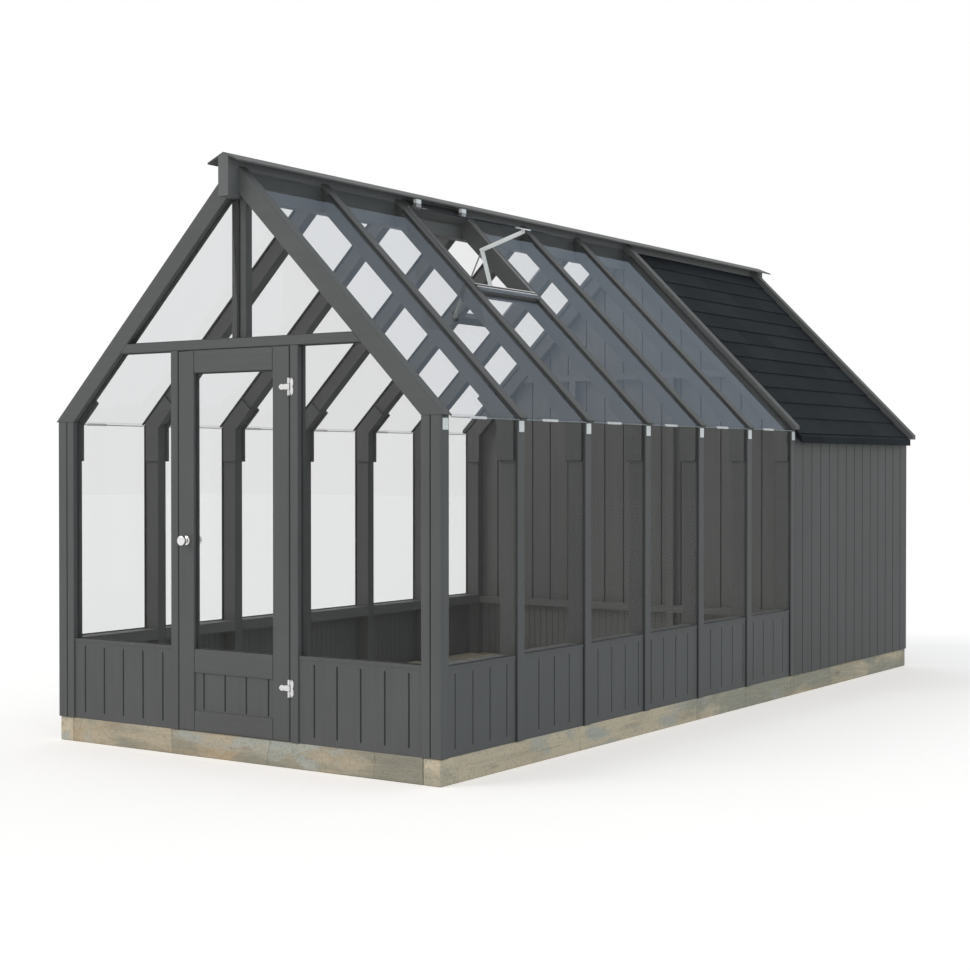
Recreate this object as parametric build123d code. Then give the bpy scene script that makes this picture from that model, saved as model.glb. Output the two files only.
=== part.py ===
"""Timber-framed glass greenhouse with a boarded, shingle-roofed shed at its rear end.

Millimetres. +X is the right-hand long side, +Y runs back along the ridge and +Z is up.
The origin is on the ground, under the middle of the whole building.
"""
import os
from math import cos, radians, sin, tan

from build123d import *

# Overall sizes
wall_width = 2492
wall_length_shed = 1958
bay_count = 6
bay_pitch = 632
post_top = 1682
roof_pitch = 45
eave_nose = 18
ridge_nose_front = 76
ridge_nose_rear = 150

# Frames: posts and rafters of one section
frame_thickness = 62
post_depth = 104
rafter_depth = 95

# Plinth
plinth_height = 125
plinth_beam_width = 100
plinth_inset = 6

# Ridge
ridge_beam_width = 64
ridge_beam_drop = 184
cap_half_width = 102
cap_drop = 44
cap_thickness = 8
cap_rise = 29

# Low walls and glass
low_wall_top = 543
low_wall_thickness = 18
low_wall_recess = 9
sill_thickness = 60
glass_thickness = 4
side_glass_recess = 10
roof_glass_recess = 11
eave_glass_reach = 10
front_glass_recess = 33
pane_joint = 3

# Front gable
corner_post_width = 61
corner_joint = 4
front_stile_width = 50
transom_bottom = 2029
transom_height = 46
mullion_width = 95
mullion_thickness = 45
jamb_width = 50
door_offset = -11

# Door
door_width = 724
door_gap = 5
door_thickness = 45
door_stile_width = 104
door_top_rail = 110
door_mid_rail_bottom = 420
door_mid_rail_top = 537
door_bottom_rail = 99
door_panel_thickness = 18
door_panel_recess = 8
door_glass_recess = 22
knob_height = 1078
knob_rose_radius = 24
knob_rose_thickness = 4
knob_neck_radius = 9
knob_neck_length = 12
knob_radius = 25
knob_flare = 8
knob_rim = 14
knob_dish = 5
hinge_heights = (385, 1830)
hinge_knuckle_radius = 6
hinge_knuckle_height = 28
hinge_pin_radius = 3
hinge_bore_clearance = 0.3
hinge_end_clearance = 1
hinge_plate_thickness = 3
hinge_plate_height = 86
hinge_plate_width = 18
hinge_strap_length = 62
hinge_strap_height = 27

# Knee plates
knee_plate_thickness = 12
knee_plate_bottom = 1480
knee_plate_lap = 12
knee_plate_edge_gap = 6
knee_plate_arm = 160

# Eave brackets
bracket_width = 44
bracket_bottom = 1614
bracket_top = 1668
bracket_neck_width = 20
bracket_thickness = 3
bracket_setback = 9
bracket_reach = 15

# Clips at the eave that hold the roof glass
clip_length = 140
clip_thickness = 3
clip_lap = 12
clip_drop = 7
clip_offset = -65

# Partition between greenhouse and shed
board_thickness = 18
partition_rail_bottom = 485
partition_rail_height = 45
partition_member_thickness = 45
partition_stud_width = 50
partition_stud_place = 351

# Shed
shed_deck_thickness = 30
shed_roof_sink = 10
shed_eave_reach = 46
shed_wall_gap = 1
verge_rise = 24
verge_toe = 30
verge_rear_lap = 18
shed_door_width = 724
shed_door_height = 1894
shed_trim_width = 70
shed_trim_thickness = 12

# Roof vents
vent_bay_right = 2
vent_bay_left = 4
vent_header_end = 108
vent_header_rise = 6
vent_bar_depth = 44
vent_hinge_place = 112
vent_hinge_rise = 14
vent_sash_start = 120
vent_sash_length = 652
vent_sash_lift = 10
vent_sash_lap = 12
vent_open_angle = 32
vent_sill_place = 741
vent_sill_width = 56
vent_sill_lap = 14
vent_strip_width = 14
vent_strip_height = 10
vent_hinge_radius = 7
vent_hinge_width = 46
vent_hinge_spread = 218
vent_hinge_depth = 20
vent_strap_length = 52
vent_strap_thickness = 4

# Vent opener
opener_foot_down = 656
opener_foot_sink = 49
opener_elbow_down = 475
opener_elbow_rise = 52
opener_lug_setback = 90
opener_lug_drop = 20
opener_arm_width = 15
opener_arm_thickness = 4
opener_arm_gap = 12
opener_pin_radius = 4
opener_pin_clearance = 0.2
opener_plate_width = 60
opener_plate_thickness = 5
opener_plate_depth = 34
opener_lug_thickness = 6
opener_lug_width = 20
opener_tube_radius = 14
opener_tube_start = 205
opener_rod_start = 6
opener_rod_radius = 4
opener_tube_end_down = 605
opener_tube_end_sink = 337
opener_eye_thickness = 5

# Derived planes
half_width = wall_width / 2
greenhouse_run = bay_count * bay_pitch
wall_length = greenhouse_run + frame_thickness + wall_length_shed
overall_length = ridge_nose_front + wall_length + ridge_nose_rear
y_beam_front = -overall_length / 2
y_front = y_beam_front + ridge_nose_front
y_division = y_front + greenhouse_run + frame_thickness
y_rear = y_front + wall_length
y_beam_rear = overall_length / 2
slope_cos = cos(radians(roof_pitch))
slope_sin = sin(radians(roof_pitch))
slope_tan = tan(radians(roof_pitch))
roof_apex = post_top + (half_width + eave_nose) * slope_tan
half_beam = ridge_beam_width / 2
beam_bottom = roof_apex - ridge_beam_drop
post_inner = half_width - post_depth
glass_outer = half_width - side_glass_recess
glass_inner = glass_outer - glass_thickness
low_wall_outer = half_width - low_wall_recess
low_wall_inner = low_wall_outer - low_wall_thickness
transom_top = transom_bottom + transom_height
door_left = door_offset - door_width / 2
door_right = door_offset + door_width / 2
opening_left = door_left - door_gap
opening_right = door_right + door_gap
roof_pane_end = (half_width + eave_glass_reach) / slope_cos + roof_glass_recess * slope_tan
door_bottom = plinth_height + door_gap
door_top = transom_bottom - door_gap


def frame_y(index):
    """Front face of one frame along the greenhouse."""
    return y_front + index * bay_pitch


def roof_height(x, below=0):
    """Height of the plane that lies a square distance below the rafters' outer faces."""
    return roof_apex - below / slope_cos - abs(x) * slope_tan


def roof_x(z, below=0):
    """Distance from the ridge line at which that plane has a given height."""
    return (roof_apex - below / slope_cos - z) / slope_tan


def slope_point(down, out):
    """Point on the right-hand slope, down from the ridge line and square out from the rafters."""
    x = down * slope_cos + out * slope_sin
    z = roof_apex - down * slope_sin + out * slope_cos
    return x, z


def block(x0, x1, y0, y1, z0, z1):
    """Rectangular piece between two corners."""
    piece = Box(x1 - x0, y1 - y0, z1 - z0, align=(Align.MIN, Align.MIN, Align.MIN))
    return Pos(x0, y0, z0) * piece


def plate(points, y0, y1):
    """Flat piece with its outline in the gable's plane."""
    outline = Wire.make_polygon([Vector(x, y0, z) for x, z in points], close=True)
    return extrude(Face(outline), amount=y1 - y0, dir=(0, 1, 0))


def mirrored(pieces):
    """The same pieces on the left-hand side."""
    return [mirror(piece, about=Plane.YZ) for piece in pieces]


def both_sides(pieces):
    """The pieces and their mirror images."""
    return pieces + mirrored(pieces)


def save(name, pieces):
    """Write one node."""
    solids = [solid for piece in pieces for solid in piece.solids()]
    shape = solids[0] if len(solids) == 1 else Compound(children=solids)
    export_step(shape, f"parts/{name}.step")


# Plinth
def plinth_long_beams(y0, y1):
    outer = half_width - plinth_inset
    beam = block(outer - plinth_beam_width, outer, y0, y1, 0, plinth_height)
    return both_sides([beam])


def plinth_cross_beams():
    inner = half_width - plinth_inset - plinth_beam_width
    fronts = (y_front + plinth_inset, y_division - plinth_beam_width, y_rear - plinth_inset - plinth_beam_width)
    return [block(-inner, inner, y, y + plinth_beam_width, 0, plinth_height) for y in fronts]


# Frames
def right_posts():
    places = [frame_y(index) for index in range(1, bay_count + 1)]
    return [block(post_inner, half_width, y, y + frame_thickness, plinth_height, post_top) for y in places]


def front_posts():
    corner_inner = half_width - corner_post_width
    stile_outer = corner_inner - corner_joint
    stile_inner = stile_outer - front_stile_width
    y1 = y_front + frame_thickness
    corner = block(corner_inner, half_width, y_front, y1, plinth_height, post_top)
    stile = block(stile_inner, stile_outer, y_front, y1, plinth_height, post_top)
    return both_sides([corner, stile])


def right_rafters():
    outline = [
        (roof_x(post_top), post_top),
        (half_beam, roof_height(half_beam)),
        (half_beam, roof_height(half_beam, rafter_depth)),
        (roof_x(post_top, rafter_depth), post_top),
    ]
    places = [frame_y(index) for index in range(bay_count)]
    return [plate(outline, y, y + frame_thickness) for y in places]


def verge_rafter(y0, y1, toe):
    """Gable rafter of the shed, raised above the roof covering, with a level cut at its foot."""
    tip = half_width + toe
    outline = [
        (half_beam, roof_height(half_beam, -verge_rise)),
        (tip, roof_height(tip, -verge_rise)),
        (tip, post_top),
        (roof_x(post_top, rafter_depth), post_top),
        (half_beam, roof_height(half_beam, rafter_depth)),
    ]
    return plate(outline, y0, y1)


def knee_plate(y0):
    """Bent plywood plate that joins one post to its rafter."""
    inner = post_inner - knee_plate_lap
    outer = glass_inner - knee_plate_edge_gap
    top_sink = roof_glass_recess + glass_thickness + knee_plate_edge_gap
    low_sink = rafter_depth + knee_plate_lap
    corner_z = roof_height(inner, low_sink)
    end_x = inner - knee_plate_arm * slope_cos
    end_z = corner_z + knee_plate_arm * slope_sin
    rise = low_sink - top_sink
    outline = [
        (inner, knee_plate_bottom),
        (outer, knee_plate_bottom),
        (outer, roof_height(outer, top_sink)),
        (end_x + rise * slope_sin, end_z + rise * slope_cos),
        (end_x, end_z),
        (inner, corner_z),
    ]
    return plate(outline, y0, y0 + knee_plate_thickness)


def knee_plates():
    behind = [frame_y(index) + frame_thickness for index in range(bay_count)]
    ahead = [frame_y(index) - knee_plate_thickness for index in range(1, bay_count + 1)]
    return both_sides([knee_plate(y) for y in behind + ahead])


def eave_brackets():
    """Steel plates on the posts, each with a narrow neck bent out under the rafter's toe."""
    pieces = []
    for index in range(bay_count + 1):
        y0 = frame_y(index) + bracket_setback
        y1 = y0 + bracket_width
        middle = (y0 + y1) / 2
        neck0 = middle - bracket_neck_width / 2
        neck1 = middle + bracket_neck_width / 2
        face = half_width + bracket_thickness
        wall_leg = block(half_width, face, y0, y1, bracket_bottom, bracket_top)
        neck = block(half_width, face, neck0, neck1, bracket_top, post_top)
        toe_leg = block(half_width, half_width + bracket_reach, neck0, neck1, post_top - bracket_thickness, post_top)
        pieces.append(wall_leg + neck + toe_leg)
    return both_sides(pieces)


def eave_clips():
    """Plastic angles over the lower edge of each roof pane, near the middle of its bay."""
    pieces = []
    top = -roof_glass_recess
    low = -roof_glass_recess - clip_drop
    for index in range(bay_count):
        y0, y1 = bay_span(index)
        start = (y0 + y1 - clip_length) / 2 + clip_offset
        end = start + clip_length
        lap = slope_bar(roof_pane_end - clip_lap, roof_pane_end, top, top + clip_thickness, start, end)
        hook = slope_bar(roof_pane_end, roof_pane_end + clip_thickness, low, top + clip_thickness, start, end)
        pieces.append(lap + hook)
    return both_sides(pieces)


# Ridge
def cap_outline(side):
    top = roof_apex + cap_rise
    return [
        (0, top),
        (side * cap_half_width, top - cap_drop),
        (side * cap_half_width, cap_under(cap_half_width)),
        (0, cap_under(0)),
    ]


def cap_under(x):
    """Height of the cap's underside at a distance from the ridge line."""
    return roof_apex + cap_rise - cap_thickness - x * cap_drop / cap_half_width


def ridge_cap():
    outline = cap_outline(1) + cap_outline(-1)[2:0:-1]
    return [plate(outline, y_beam_front, y_beam_rear)]


def ridge_beam():
    under = cap_under(0)
    shoulder = cap_under(half_beam)
    outline = [
        (-half_beam, beam_bottom),
        (half_beam, beam_bottom),
        (half_beam, shoulder),
        (0, under),
        (-half_beam, shoulder),
    ]
    return [plate(outline, y_beam_front, y_beam_rear)]


# Front gable
def front_transom():
    foot = roof_x(transom_bottom, rafter_depth)
    head = roof_x(transom_top, rafter_depth)
    outline = [(-foot, transom_bottom), (foot, transom_bottom), (head, transom_top), (-head, transom_top)]
    return [plate(outline, y_front, y_front + frame_thickness)]


def gable_mullion():
    half = mullion_width / 2
    y0 = y_front + front_glass_recess + glass_thickness
    return [block(-half, half, y0, y0 + mullion_thickness, transom_top, beam_bottom)]


def door_jambs():
    y1 = y_front + frame_thickness
    left = block(opening_left - jamb_width, opening_left, y_front, y1, plinth_height, transom_bottom)
    right = block(opening_right, opening_right + jamb_width, y_front, y1, plinth_height, transom_bottom)
    return [left, right]


def front_bay_edges():
    """Inner edges of the two fixed bays beside the door, as signed pairs."""
    stile_inner = half_width - corner_post_width - corner_joint - front_stile_width
    return (-stile_inner, opening_left - jamb_width), (stile_inner, opening_right + jamb_width)


def front_side_glass():
    y0 = y_front + front_glass_recess
    pieces = []
    for corner, jamb in front_bay_edges():
        sign = 1 if corner > 0 else -1
        slant = sign * roof_x(transom_bottom, rafter_depth)
        outline = [
            (corner, low_wall_top),
            (jamb, low_wall_top),
            (jamb, transom_bottom),
            (slant, transom_bottom),
            (corner, roof_height(corner, rafter_depth)),
        ]
        pieces.append(plate(outline, y0, y0 + glass_thickness))
    return pieces


def gable_glass():
    y0 = y_front + front_glass_recess
    edge = pane_joint / 2
    outline = [
        (edge, transom_top),
        (roof_x(transom_top, rafter_depth), transom_top),
        (roof_x(beam_bottom, rafter_depth), beam_bottom),
        (edge, beam_bottom),
    ]
    return both_sides([plate(outline, y0, y0 + glass_thickness)])


def front_low_walls():
    y0 = y_front + low_wall_recess
    pieces = []
    for corner, jamb in front_bay_edges():
        x0, x1 = sorted((corner, jamb))
        pieces.append(block(x0, x1, y0, y0 + low_wall_thickness, plinth_height, low_wall_top))
    return pieces


# Long sides
def bay_span(index):
    """Clear stretch between two frames."""
    return frame_y(index) + frame_thickness, frame_y(index + 1)


def right_low_walls():
    spans = [bay_span(index) for index in range(bay_count)]
    return [block(low_wall_inner, low_wall_outer, y0, y1, plinth_height, low_wall_top) for y0, y1 in spans]


def sills():
    """Inner sill beams, level with the tops of the low walls."""
    z0 = low_wall_top - sill_thickness
    side = []
    for index in range(bay_count):
        y0, y1 = bay_span(index)
        side.append(block(post_inner, low_wall_inner, y0, y1, z0, low_wall_top))
    front = []
    y0 = y_front + low_wall_recess + low_wall_thickness
    for corner, jamb in front_bay_edges():
        x0, x1 = sorted((corner, jamb))
        front.append(block(x0, x1, y0, y_front + frame_thickness, z0, low_wall_top))
    return both_sides(side) + front


def right_side_glass():
    top = roof_height(glass_outer, roof_glass_recess + glass_thickness)
    spans = [bay_span(index) for index in range(bay_count)]
    return [block(glass_inner, glass_outer, y0, y1, low_wall_top, top) for y0, y1 in spans]


def roof_pane(y0, y1, start):
    """Sheet of glass on the right-hand slope, from a place down the slope to the eave."""
    inner_sink = roof_glass_recess + glass_thickness
    end = roof_pane_end
    top_outer = slope_point(start, -roof_glass_recess)
    top_inner = slope_point(start, -inner_sink)
    low_outer = slope_point(end, -roof_glass_recess)
    low_inner = slope_point(end, -inner_sink)
    return plate([top_outer, low_outer, low_inner, top_inner], y0, y1)


def roof_panes(vent_bay):
    beam_start = half_beam / slope_cos + (roof_glass_recess + glass_thickness) * slope_tan
    panes = []
    for index in range(bay_count):
        y0, y1 = bay_span(index)
        start = vent_sill_place + vent_sill_width if index == vent_bay else beam_start
        panes.append(roof_pane(y0, y1, start))
    return panes


# Partition
def partition_wall():
    """Boarded gable between the two rooms, behind the last greenhouse frame."""
    foot = half_width - board_thickness
    sink = shed_roof_sink + shed_deck_thickness
    outline = [
        (-foot, plinth_height),
        (foot, plinth_height),
        (foot, roof_height(foot, sink)),
        (half_beam, roof_height(half_beam, sink)),
        (half_beam, beam_bottom),
        (-half_beam, beam_bottom),
        (-half_beam, roof_height(half_beam, sink)),
        (-foot, roof_height(foot, sink)),
    ]
    return [plate(outline, y_division, y_division + board_thickness)]


def partition_studs():
    x1 = partition_stud_place + partition_stud_width
    y0 = y_division - partition_member_thickness
    stud = block(partition_stud_place, x1, y0, y_division, plinth_height, transom_bottom)
    return both_sides([stud])


def partition_rails():
    y0 = y_division - partition_member_thickness
    z1 = partition_rail_bottom + partition_rail_height
    middle = block(-partition_stud_place, partition_stud_place, y0, y_division, partition_rail_bottom, z1)
    outer = partition_stud_place + partition_stud_width
    side = block(outer, post_inner, y0, y_division, partition_rail_bottom, z1)
    foot = roof_x(transom_bottom, rafter_depth)
    head = roof_x(transom_top, rafter_depth)
    outline = [(-foot, transom_bottom), (foot, transom_bottom), (head, transom_top), (-head, transom_top)]
    transom = plate(outline, y0, y_division)
    return [middle, transom] + both_sides([side])


# Shed
def shed_wall_height():
    return roof_height(half_width, shed_roof_sink + shed_deck_thickness)


def shed_right_wall():
    outer = half_width
    inner = half_width - board_thickness
    y1 = y_rear - board_thickness
    outline_top = shed_wall_height()
    return [block(inner, outer, y_division + shed_wall_gap, y1, plinth_height, outline_top)]


def shed_rear_posts():
    outer = half_width - board_thickness
    y1 = y_rear - board_thickness
    post = block(outer - post_depth, outer, y1 - frame_thickness, y1, plinth_height, shed_wall_height())
    return both_sides([post])


def shed_rear_wall():
    sink = shed_roof_sink + shed_deck_thickness
    outline = [
        (-half_width, plinth_height),
        (half_width, plinth_height),
        (half_width, roof_height(half_width, sink)),
        (half_beam, roof_height(half_beam, sink)),
        (half_beam, beam_bottom),
        (-half_beam, beam_bottom),
        (-half_beam, roof_height(half_beam, sink)),
        (-half_width, roof_height(half_width, sink)),
    ]
    wall = plate(outline, y_rear - board_thickness, y_rear)
    half = shed_door_width / 2
    head = plinth_height + shed_door_height
    doorway = block(-half, half, y_rear - board_thickness, y_rear, plinth_height, head)
    return [wall - doorway]


def shed_door():
    half = shed_door_width / 2
    y0 = y_rear - board_thickness
    return [block(-half, half, y0, y_rear, plinth_height, plinth_height + shed_door_height)]


def shed_door_trim():
    """Cover boards round the shed's doorway."""
    half = shed_door_width / 2
    outer = half + shed_trim_width
    head = plinth_height + shed_door_height
    y1 = y_rear + shed_trim_thickness
    side = block(half, outer, y_rear, y1, plinth_height, head)
    over = block(-outer, outer, y_rear, y1, head, head + shed_trim_width)
    return both_sides([side]) + [over]


def shed_roof_slab():
    """Boarded and shingled right-hand slope, from the ridge beam to past the wall."""
    eave = half_width + shed_eave_reach
    under = shed_roof_sink + shed_deck_thickness
    outline = [
        (half_beam, roof_height(half_beam, shed_roof_sink)),
        (eave, roof_height(eave, shed_roof_sink)),
        (eave, roof_height(eave, under)),
        (half_beam, roof_height(half_beam, under)),
    ]
    return [plate(outline, y_division, y_rear - frame_thickness + verge_rear_lap)]


def shed_verge_rafters():
    front = verge_rafter(y_division - frame_thickness, y_division, verge_toe)
    y1 = y_rear + verge_rear_lap
    tip = half_width + shed_eave_reach + verge_toe / 2
    under = shed_roof_sink + shed_deck_thickness
    outline = [
        (half_beam, roof_height(half_beam, -verge_rise)),
        (tip, roof_height(tip, -verge_rise)),
        (tip, roof_height(half_width, under)),
        (half_width, roof_height(half_width, under)),
        (half_beam, roof_height(half_beam, under)),
    ]
    rear = plate(outline, y1 - frame_thickness, y1)
    return both_sides([front, rear])


# Roof vents
def slope_plate(places, y0, y1):
    """Flat piece whose outline is given down the right-hand slope and square out from it."""
    return plate([slope_point(down, out) for down, out in places], y0, y1)


def slope_bar(down0, down1, out0, out1, y0, y1):
    """Bar square to the slope between two places down it."""
    return slope_plate([(down0, out0), (down1, out0), (down1, out1), (down0, out1)], y0, y1)


def rod(place, radius, y0, y1):
    """Round bar along the building through a place on the slope."""
    x, z = slope_point(*place)
    return Pos(x, (y0 + y1) / 2, z) * Rot(90, 0, 0) * Cylinder(radius, y1 - y0)


def opened(piece):
    """Turn a piece of the sash about its hinge line to the open position."""
    x, z = slope_point(vent_hinge_place, vent_hinge_rise)
    return piece.rotate(Axis((x, 0, z), (0, -1, 0)), vent_open_angle)


def shut(piece):
    """Leave a piece of the sash as it lies on the strips."""
    return piece


def opened_place(down, out):
    """Where a place on the closed sash comes to when the vent is open."""
    along = down - vent_hinge_place
    up = out - vent_hinge_rise
    turn = radians(vent_open_angle)
    new_down = vent_hinge_place + along * cos(turn) - up * sin(turn)
    new_out = vent_hinge_rise + along * sin(turn) + up * cos(turn)
    return new_down, new_out


def vent_middle(bay):
    y0, y1 = bay_span(bay)
    return (y0 + y1) / 2


def vent_curb(bay):
    """Head bar under the hinges and sill bar with a lip that laps both rafters."""
    y0, y1 = bay_span(bay)
    head_outline = [
        (half_beam, roof_height(half_beam, -vent_header_rise)),
        slope_point(vent_header_end, vent_header_rise),
        slope_point(vent_header_end, -vent_bar_depth),
        (half_beam, roof_height(half_beam, vent_bar_depth)),
    ]
    head = plate(head_outline, y0, y1)
    sill_end = vent_sill_place + vent_sill_width
    sill = slope_bar(vent_sill_place, sill_end, -vent_bar_depth, 0, y0, y1)
    lip = slope_bar(
        vent_sill_place, sill_end, 0, vent_header_rise, y0 - vent_sill_lap, y1 + vent_sill_lap
    )
    return [head, sill + lip]


def vent_side_strips(bay):
    """Flat strips on the two rafters that carry the sash's sides."""
    y0, y1 = bay_span(bay)
    ends = (y0 - vent_strip_width, y1)
    return [
        slope_bar(vent_header_end, vent_sill_place, 0, vent_strip_height, y, y + vent_strip_width) for y in ends
    ]


def vent_sash_glass(bay, turn):
    """Frameless sheet that lies on the side strips when shut."""
    y0, y1 = bay_span(bay)
    end = vent_sash_start + vent_sash_length
    top = vent_sash_lift + glass_thickness
    pane = slope_bar(vent_sash_start, end, vent_sash_lift, top, y0 - vent_sash_lap, y1 + vent_sash_lap)
    return turn(pane)


def vent_hinges(bay, turn):
    """Hinge blocks between the head bar and the ridge cap, each with a strap on the sash."""
    pieces = []
    top = vent_sash_lift + glass_thickness
    pin_x, pin_z = slope_point(vent_hinge_place, vent_hinge_rise)
    block_x0 = pin_x - vent_hinge_depth / 2
    block_x1 = pin_x + vent_hinge_depth / 2
    outline = [
        (block_x0, pin_z),
        (block_x1, pin_z),
        (block_x1, cap_under(block_x1)),
        (block_x0, cap_under(block_x0)),
    ]
    for side in (-1, 1):
        middle = vent_middle(bay) + side * vent_hinge_spread
        y0 = middle - vent_hinge_width / 2
        y1 = middle + vent_hinge_width / 2
        knuckle = rod((vent_hinge_place, vent_hinge_rise), vent_hinge_radius, y0, y1)
        foot_start = vent_hinge_place - vent_hinge_depth
        foot = slope_bar(foot_start, vent_header_end, vent_header_rise, vent_hinge_rise, y0, y1)
        strap_end = vent_hinge_place + vent_strap_length
        strap = slope_bar(vent_hinge_place, strap_end, top, top + vent_strap_thickness, y0, y1)
        pieces.append(knuckle + foot + plate(outline, y0, y1) + turn(strap))
    return pieces


# Vent opener
opener_foot = (opener_foot_down, -opener_foot_sink)
opener_elbow = (opener_elbow_down, opener_elbow_rise)
opener_tube_end = (opener_tube_end_down, -opener_tube_end_sink)
opener_lug_place = (vent_sash_start + vent_sash_length - opener_lug_setback, vent_sash_lift - opener_lug_drop)


def opener_lug():
    """Pin on the underside of the open sash."""
    return opened_place(*opener_lug_place)


def link(start, end, width, y0, y1):
    """Flat arm with round ends between two pins."""
    down = end[0] - start[0]
    out = end[1] - start[1]
    length = (down * down + out * out) ** (1 / 2)
    side_down = -out / length * width / 2
    side_out = down / length * width / 2
    places = [
        (start[0] + side_down, start[1] + side_out),
        (end[0] + side_down, end[1] + side_out),
        (end[0] - side_down, end[1] - side_out),
        (start[0] - side_down, start[1] - side_out),
    ]
    bar = slope_plate(places, y0, y1)
    return bar + rod(start, width / 2, y0, y1) + rod(end, width / 2, y0, y1)


def opener_arms(bay):
    """Two pairs of arms that meet at the elbow, with the pins through them."""
    middle = vent_middle(bay)
    reach = opener_arm_gap / 2 + 2 * opener_arm_thickness
    shape = rod(opener_elbow, opener_pin_radius, middle - reach, middle + reach)
    shape += rod(opener_foot, opener_pin_radius, middle - reach, middle + reach)
    shape += rod(opener_lug(), opener_pin_radius, middle - reach, middle + reach)
    for side in (-1, 1):
        inner = middle + side * opener_arm_gap / 2
        centre = inner + side * opener_arm_thickness
        outer = centre + side * opener_arm_thickness
        y0, y1 = sorted((inner, centre))
        shape += link(opener_foot, opener_elbow, opener_arm_width, y0, y1)
        y0, y1 = sorted((centre, outer))
        shape += link(opener_elbow, opener_lug(), opener_arm_width, y0, y1)
    return shape


def opener_brackets(bay):
    """Lug plates on the sill bar and under the sash, bored for the arms' pins."""
    middle = vent_middle(bay)
    y0 = middle - opener_lug_thickness / 2
    y1 = middle + opener_lug_thickness / 2
    half = opener_plate_width / 2
    bore = opener_pin_radius + opener_pin_clearance
    plate_start = vent_sill_place - opener_plate_thickness
    foot_plate = slope_bar(
        plate_start, vent_sill_place, -vent_bar_depth, opener_plate_depth - vent_bar_depth, middle - half, middle + half
    )
    foot_mount = (vent_sill_place - opener_lug_width / 2, -opener_foot_sink + opener_lug_width / 2)
    foot = foot_plate + link(opener_foot, foot_mount, opener_lug_width, y0, y1)
    foot -= rod(opener_foot, bore, y0, y1)
    lug_down, lug_out = opener_lug_place
    plate_low = vent_sash_lift - opener_plate_thickness
    sash_plate = slope_bar(
        lug_down - half, lug_down + half, plate_low, vent_sash_lift, middle - half, middle + half
    )
    lug = link(opener_lug_place, (lug_down, plate_low), opener_lug_width, y0, y1)
    lug &= slope_bar(lug_down - half, lug_down + half, lug_out - half, plate_low, y0, y1)
    sash = opened(sash_plate + lug - rod(opener_lug_place, bore, y0, y1))
    return [foot, sash]


def opener_tube(bay):
    """Heat-driven cylinder below the elbow, with its piston rod and the eye at the rod's end."""
    middle = vent_middle(bay)
    x0, z0 = slope_point(*opener_elbow)
    x1, z1 = slope_point(*opener_tube_end)
    run = Vector(x1 - x0, 0, z1 - z0)
    way = run.normalized()
    elbow = Vector(x0, middle, z0)
    start = elbow + way * opener_tube_start
    rod_start = elbow + way * opener_rod_start
    body = Solid.make_cylinder(
        opener_tube_radius, run.length - opener_tube_start, Plane(origin=start, z_dir=way)
    )
    piston = Solid.make_cylinder(
        opener_rod_radius, opener_tube_start - opener_rod_start, Plane(origin=rod_start, z_dir=way)
    )
    y0 = middle - opener_eye_thickness / 2
    y1 = middle + opener_eye_thickness / 2
    eye = rod(opener_elbow, opener_arm_width / 2, y0, y1)
    hole_radius = opener_pin_radius + opener_pin_clearance
    hole = rod(opener_elbow, hole_radius, y0 - opener_rod_radius, y1 + opener_rod_radius)
    return (body + piston + eye) - hole


# Front door
hinge_x = door_right + door_gap / 2
hinge_y = y_front - hinge_knuckle_radius


def door_stiles():
    y1 = y_front + door_thickness
    left = block(door_left, door_left + door_stile_width, y_front, y1, door_bottom, door_top)
    right = block(door_right - door_stile_width, door_right, y_front, y1, door_bottom, door_top)
    return [left, right]


def door_rails():
    x0 = door_left + door_stile_width
    x1 = door_right - door_stile_width
    y1 = y_front + door_thickness
    levels = (
        (door_bottom, door_bottom + door_bottom_rail),
        (door_mid_rail_bottom, door_mid_rail_top),
        (door_top - door_top_rail, door_top),
    )
    return [block(x0, x1, y_front, y1, z0, z1) for z0, z1 in levels]


def door_infill(recess, thickness, z0, z1):
    x0 = door_left + door_stile_width
    x1 = door_right - door_stile_width
    y0 = y_front + recess
    return [block(x0, x1, y0, y0 + thickness, z0, z1)]


def door_knob():
    """Round knob turned in one piece with its rose, one on each face of the door."""
    x = door_left + door_stile_width / 2
    neck_end = knob_rose_thickness + knob_neck_length
    profile = [
        (0, 0),
        (knob_rose_radius, 0),
        (knob_rose_radius, knob_rose_thickness),
        (knob_neck_radius, knob_rose_thickness),
        (knob_neck_radius, neck_end),
        (knob_radius, neck_end + knob_flare),
        (knob_radius, neck_end + knob_flare + knob_rim),
        (knob_radius - knob_dish, neck_end + knob_flare + knob_rim + knob_dish),
        (0, neck_end + knob_flare + knob_rim + knob_dish),
    ]
    pieces = []
    for face, way in ((y_front, -1), (y_front + door_thickness, 1)):
        outline = Wire.make_polygon([Vector(x + r, face + way * h, knob_height) for r, h in profile], close=True)
        pieces.append(revolve(Face(outline), axis=Axis((x, face, knob_height), (0, 1, 0))))
    return pieces


def upright_rod(radius, z0, z1):
    piece = Cylinder(radius, z1 - z0, align=(Align.CENTER, Align.CENTER, Align.MIN))
    return Pos(hinge_x, hinge_y, z0) * piece


def door_hinge_straps():
    """Hinge leaves on the door, each with the middle knuckle."""
    pieces = []
    for height in hinge_heights:
        z0 = height - hinge_knuckle_height / 2
        z1 = height + hinge_knuckle_height / 2
        strap_low = height - hinge_strap_height / 2
        strap_high = height + hinge_strap_height / 2
        strap_start = door_right - hinge_strap_length
        front = y_front - hinge_plate_thickness
        strap = block(strap_start, hinge_x, front, y_front, strap_low, strap_high)
        knuckle = upright_rod(hinge_knuckle_radius, z0, z1)
        bore = upright_rod(hinge_pin_radius + hinge_bore_clearance, z0, z1)
        pieces.append(strap + knuckle - bore)
    return pieces


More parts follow.
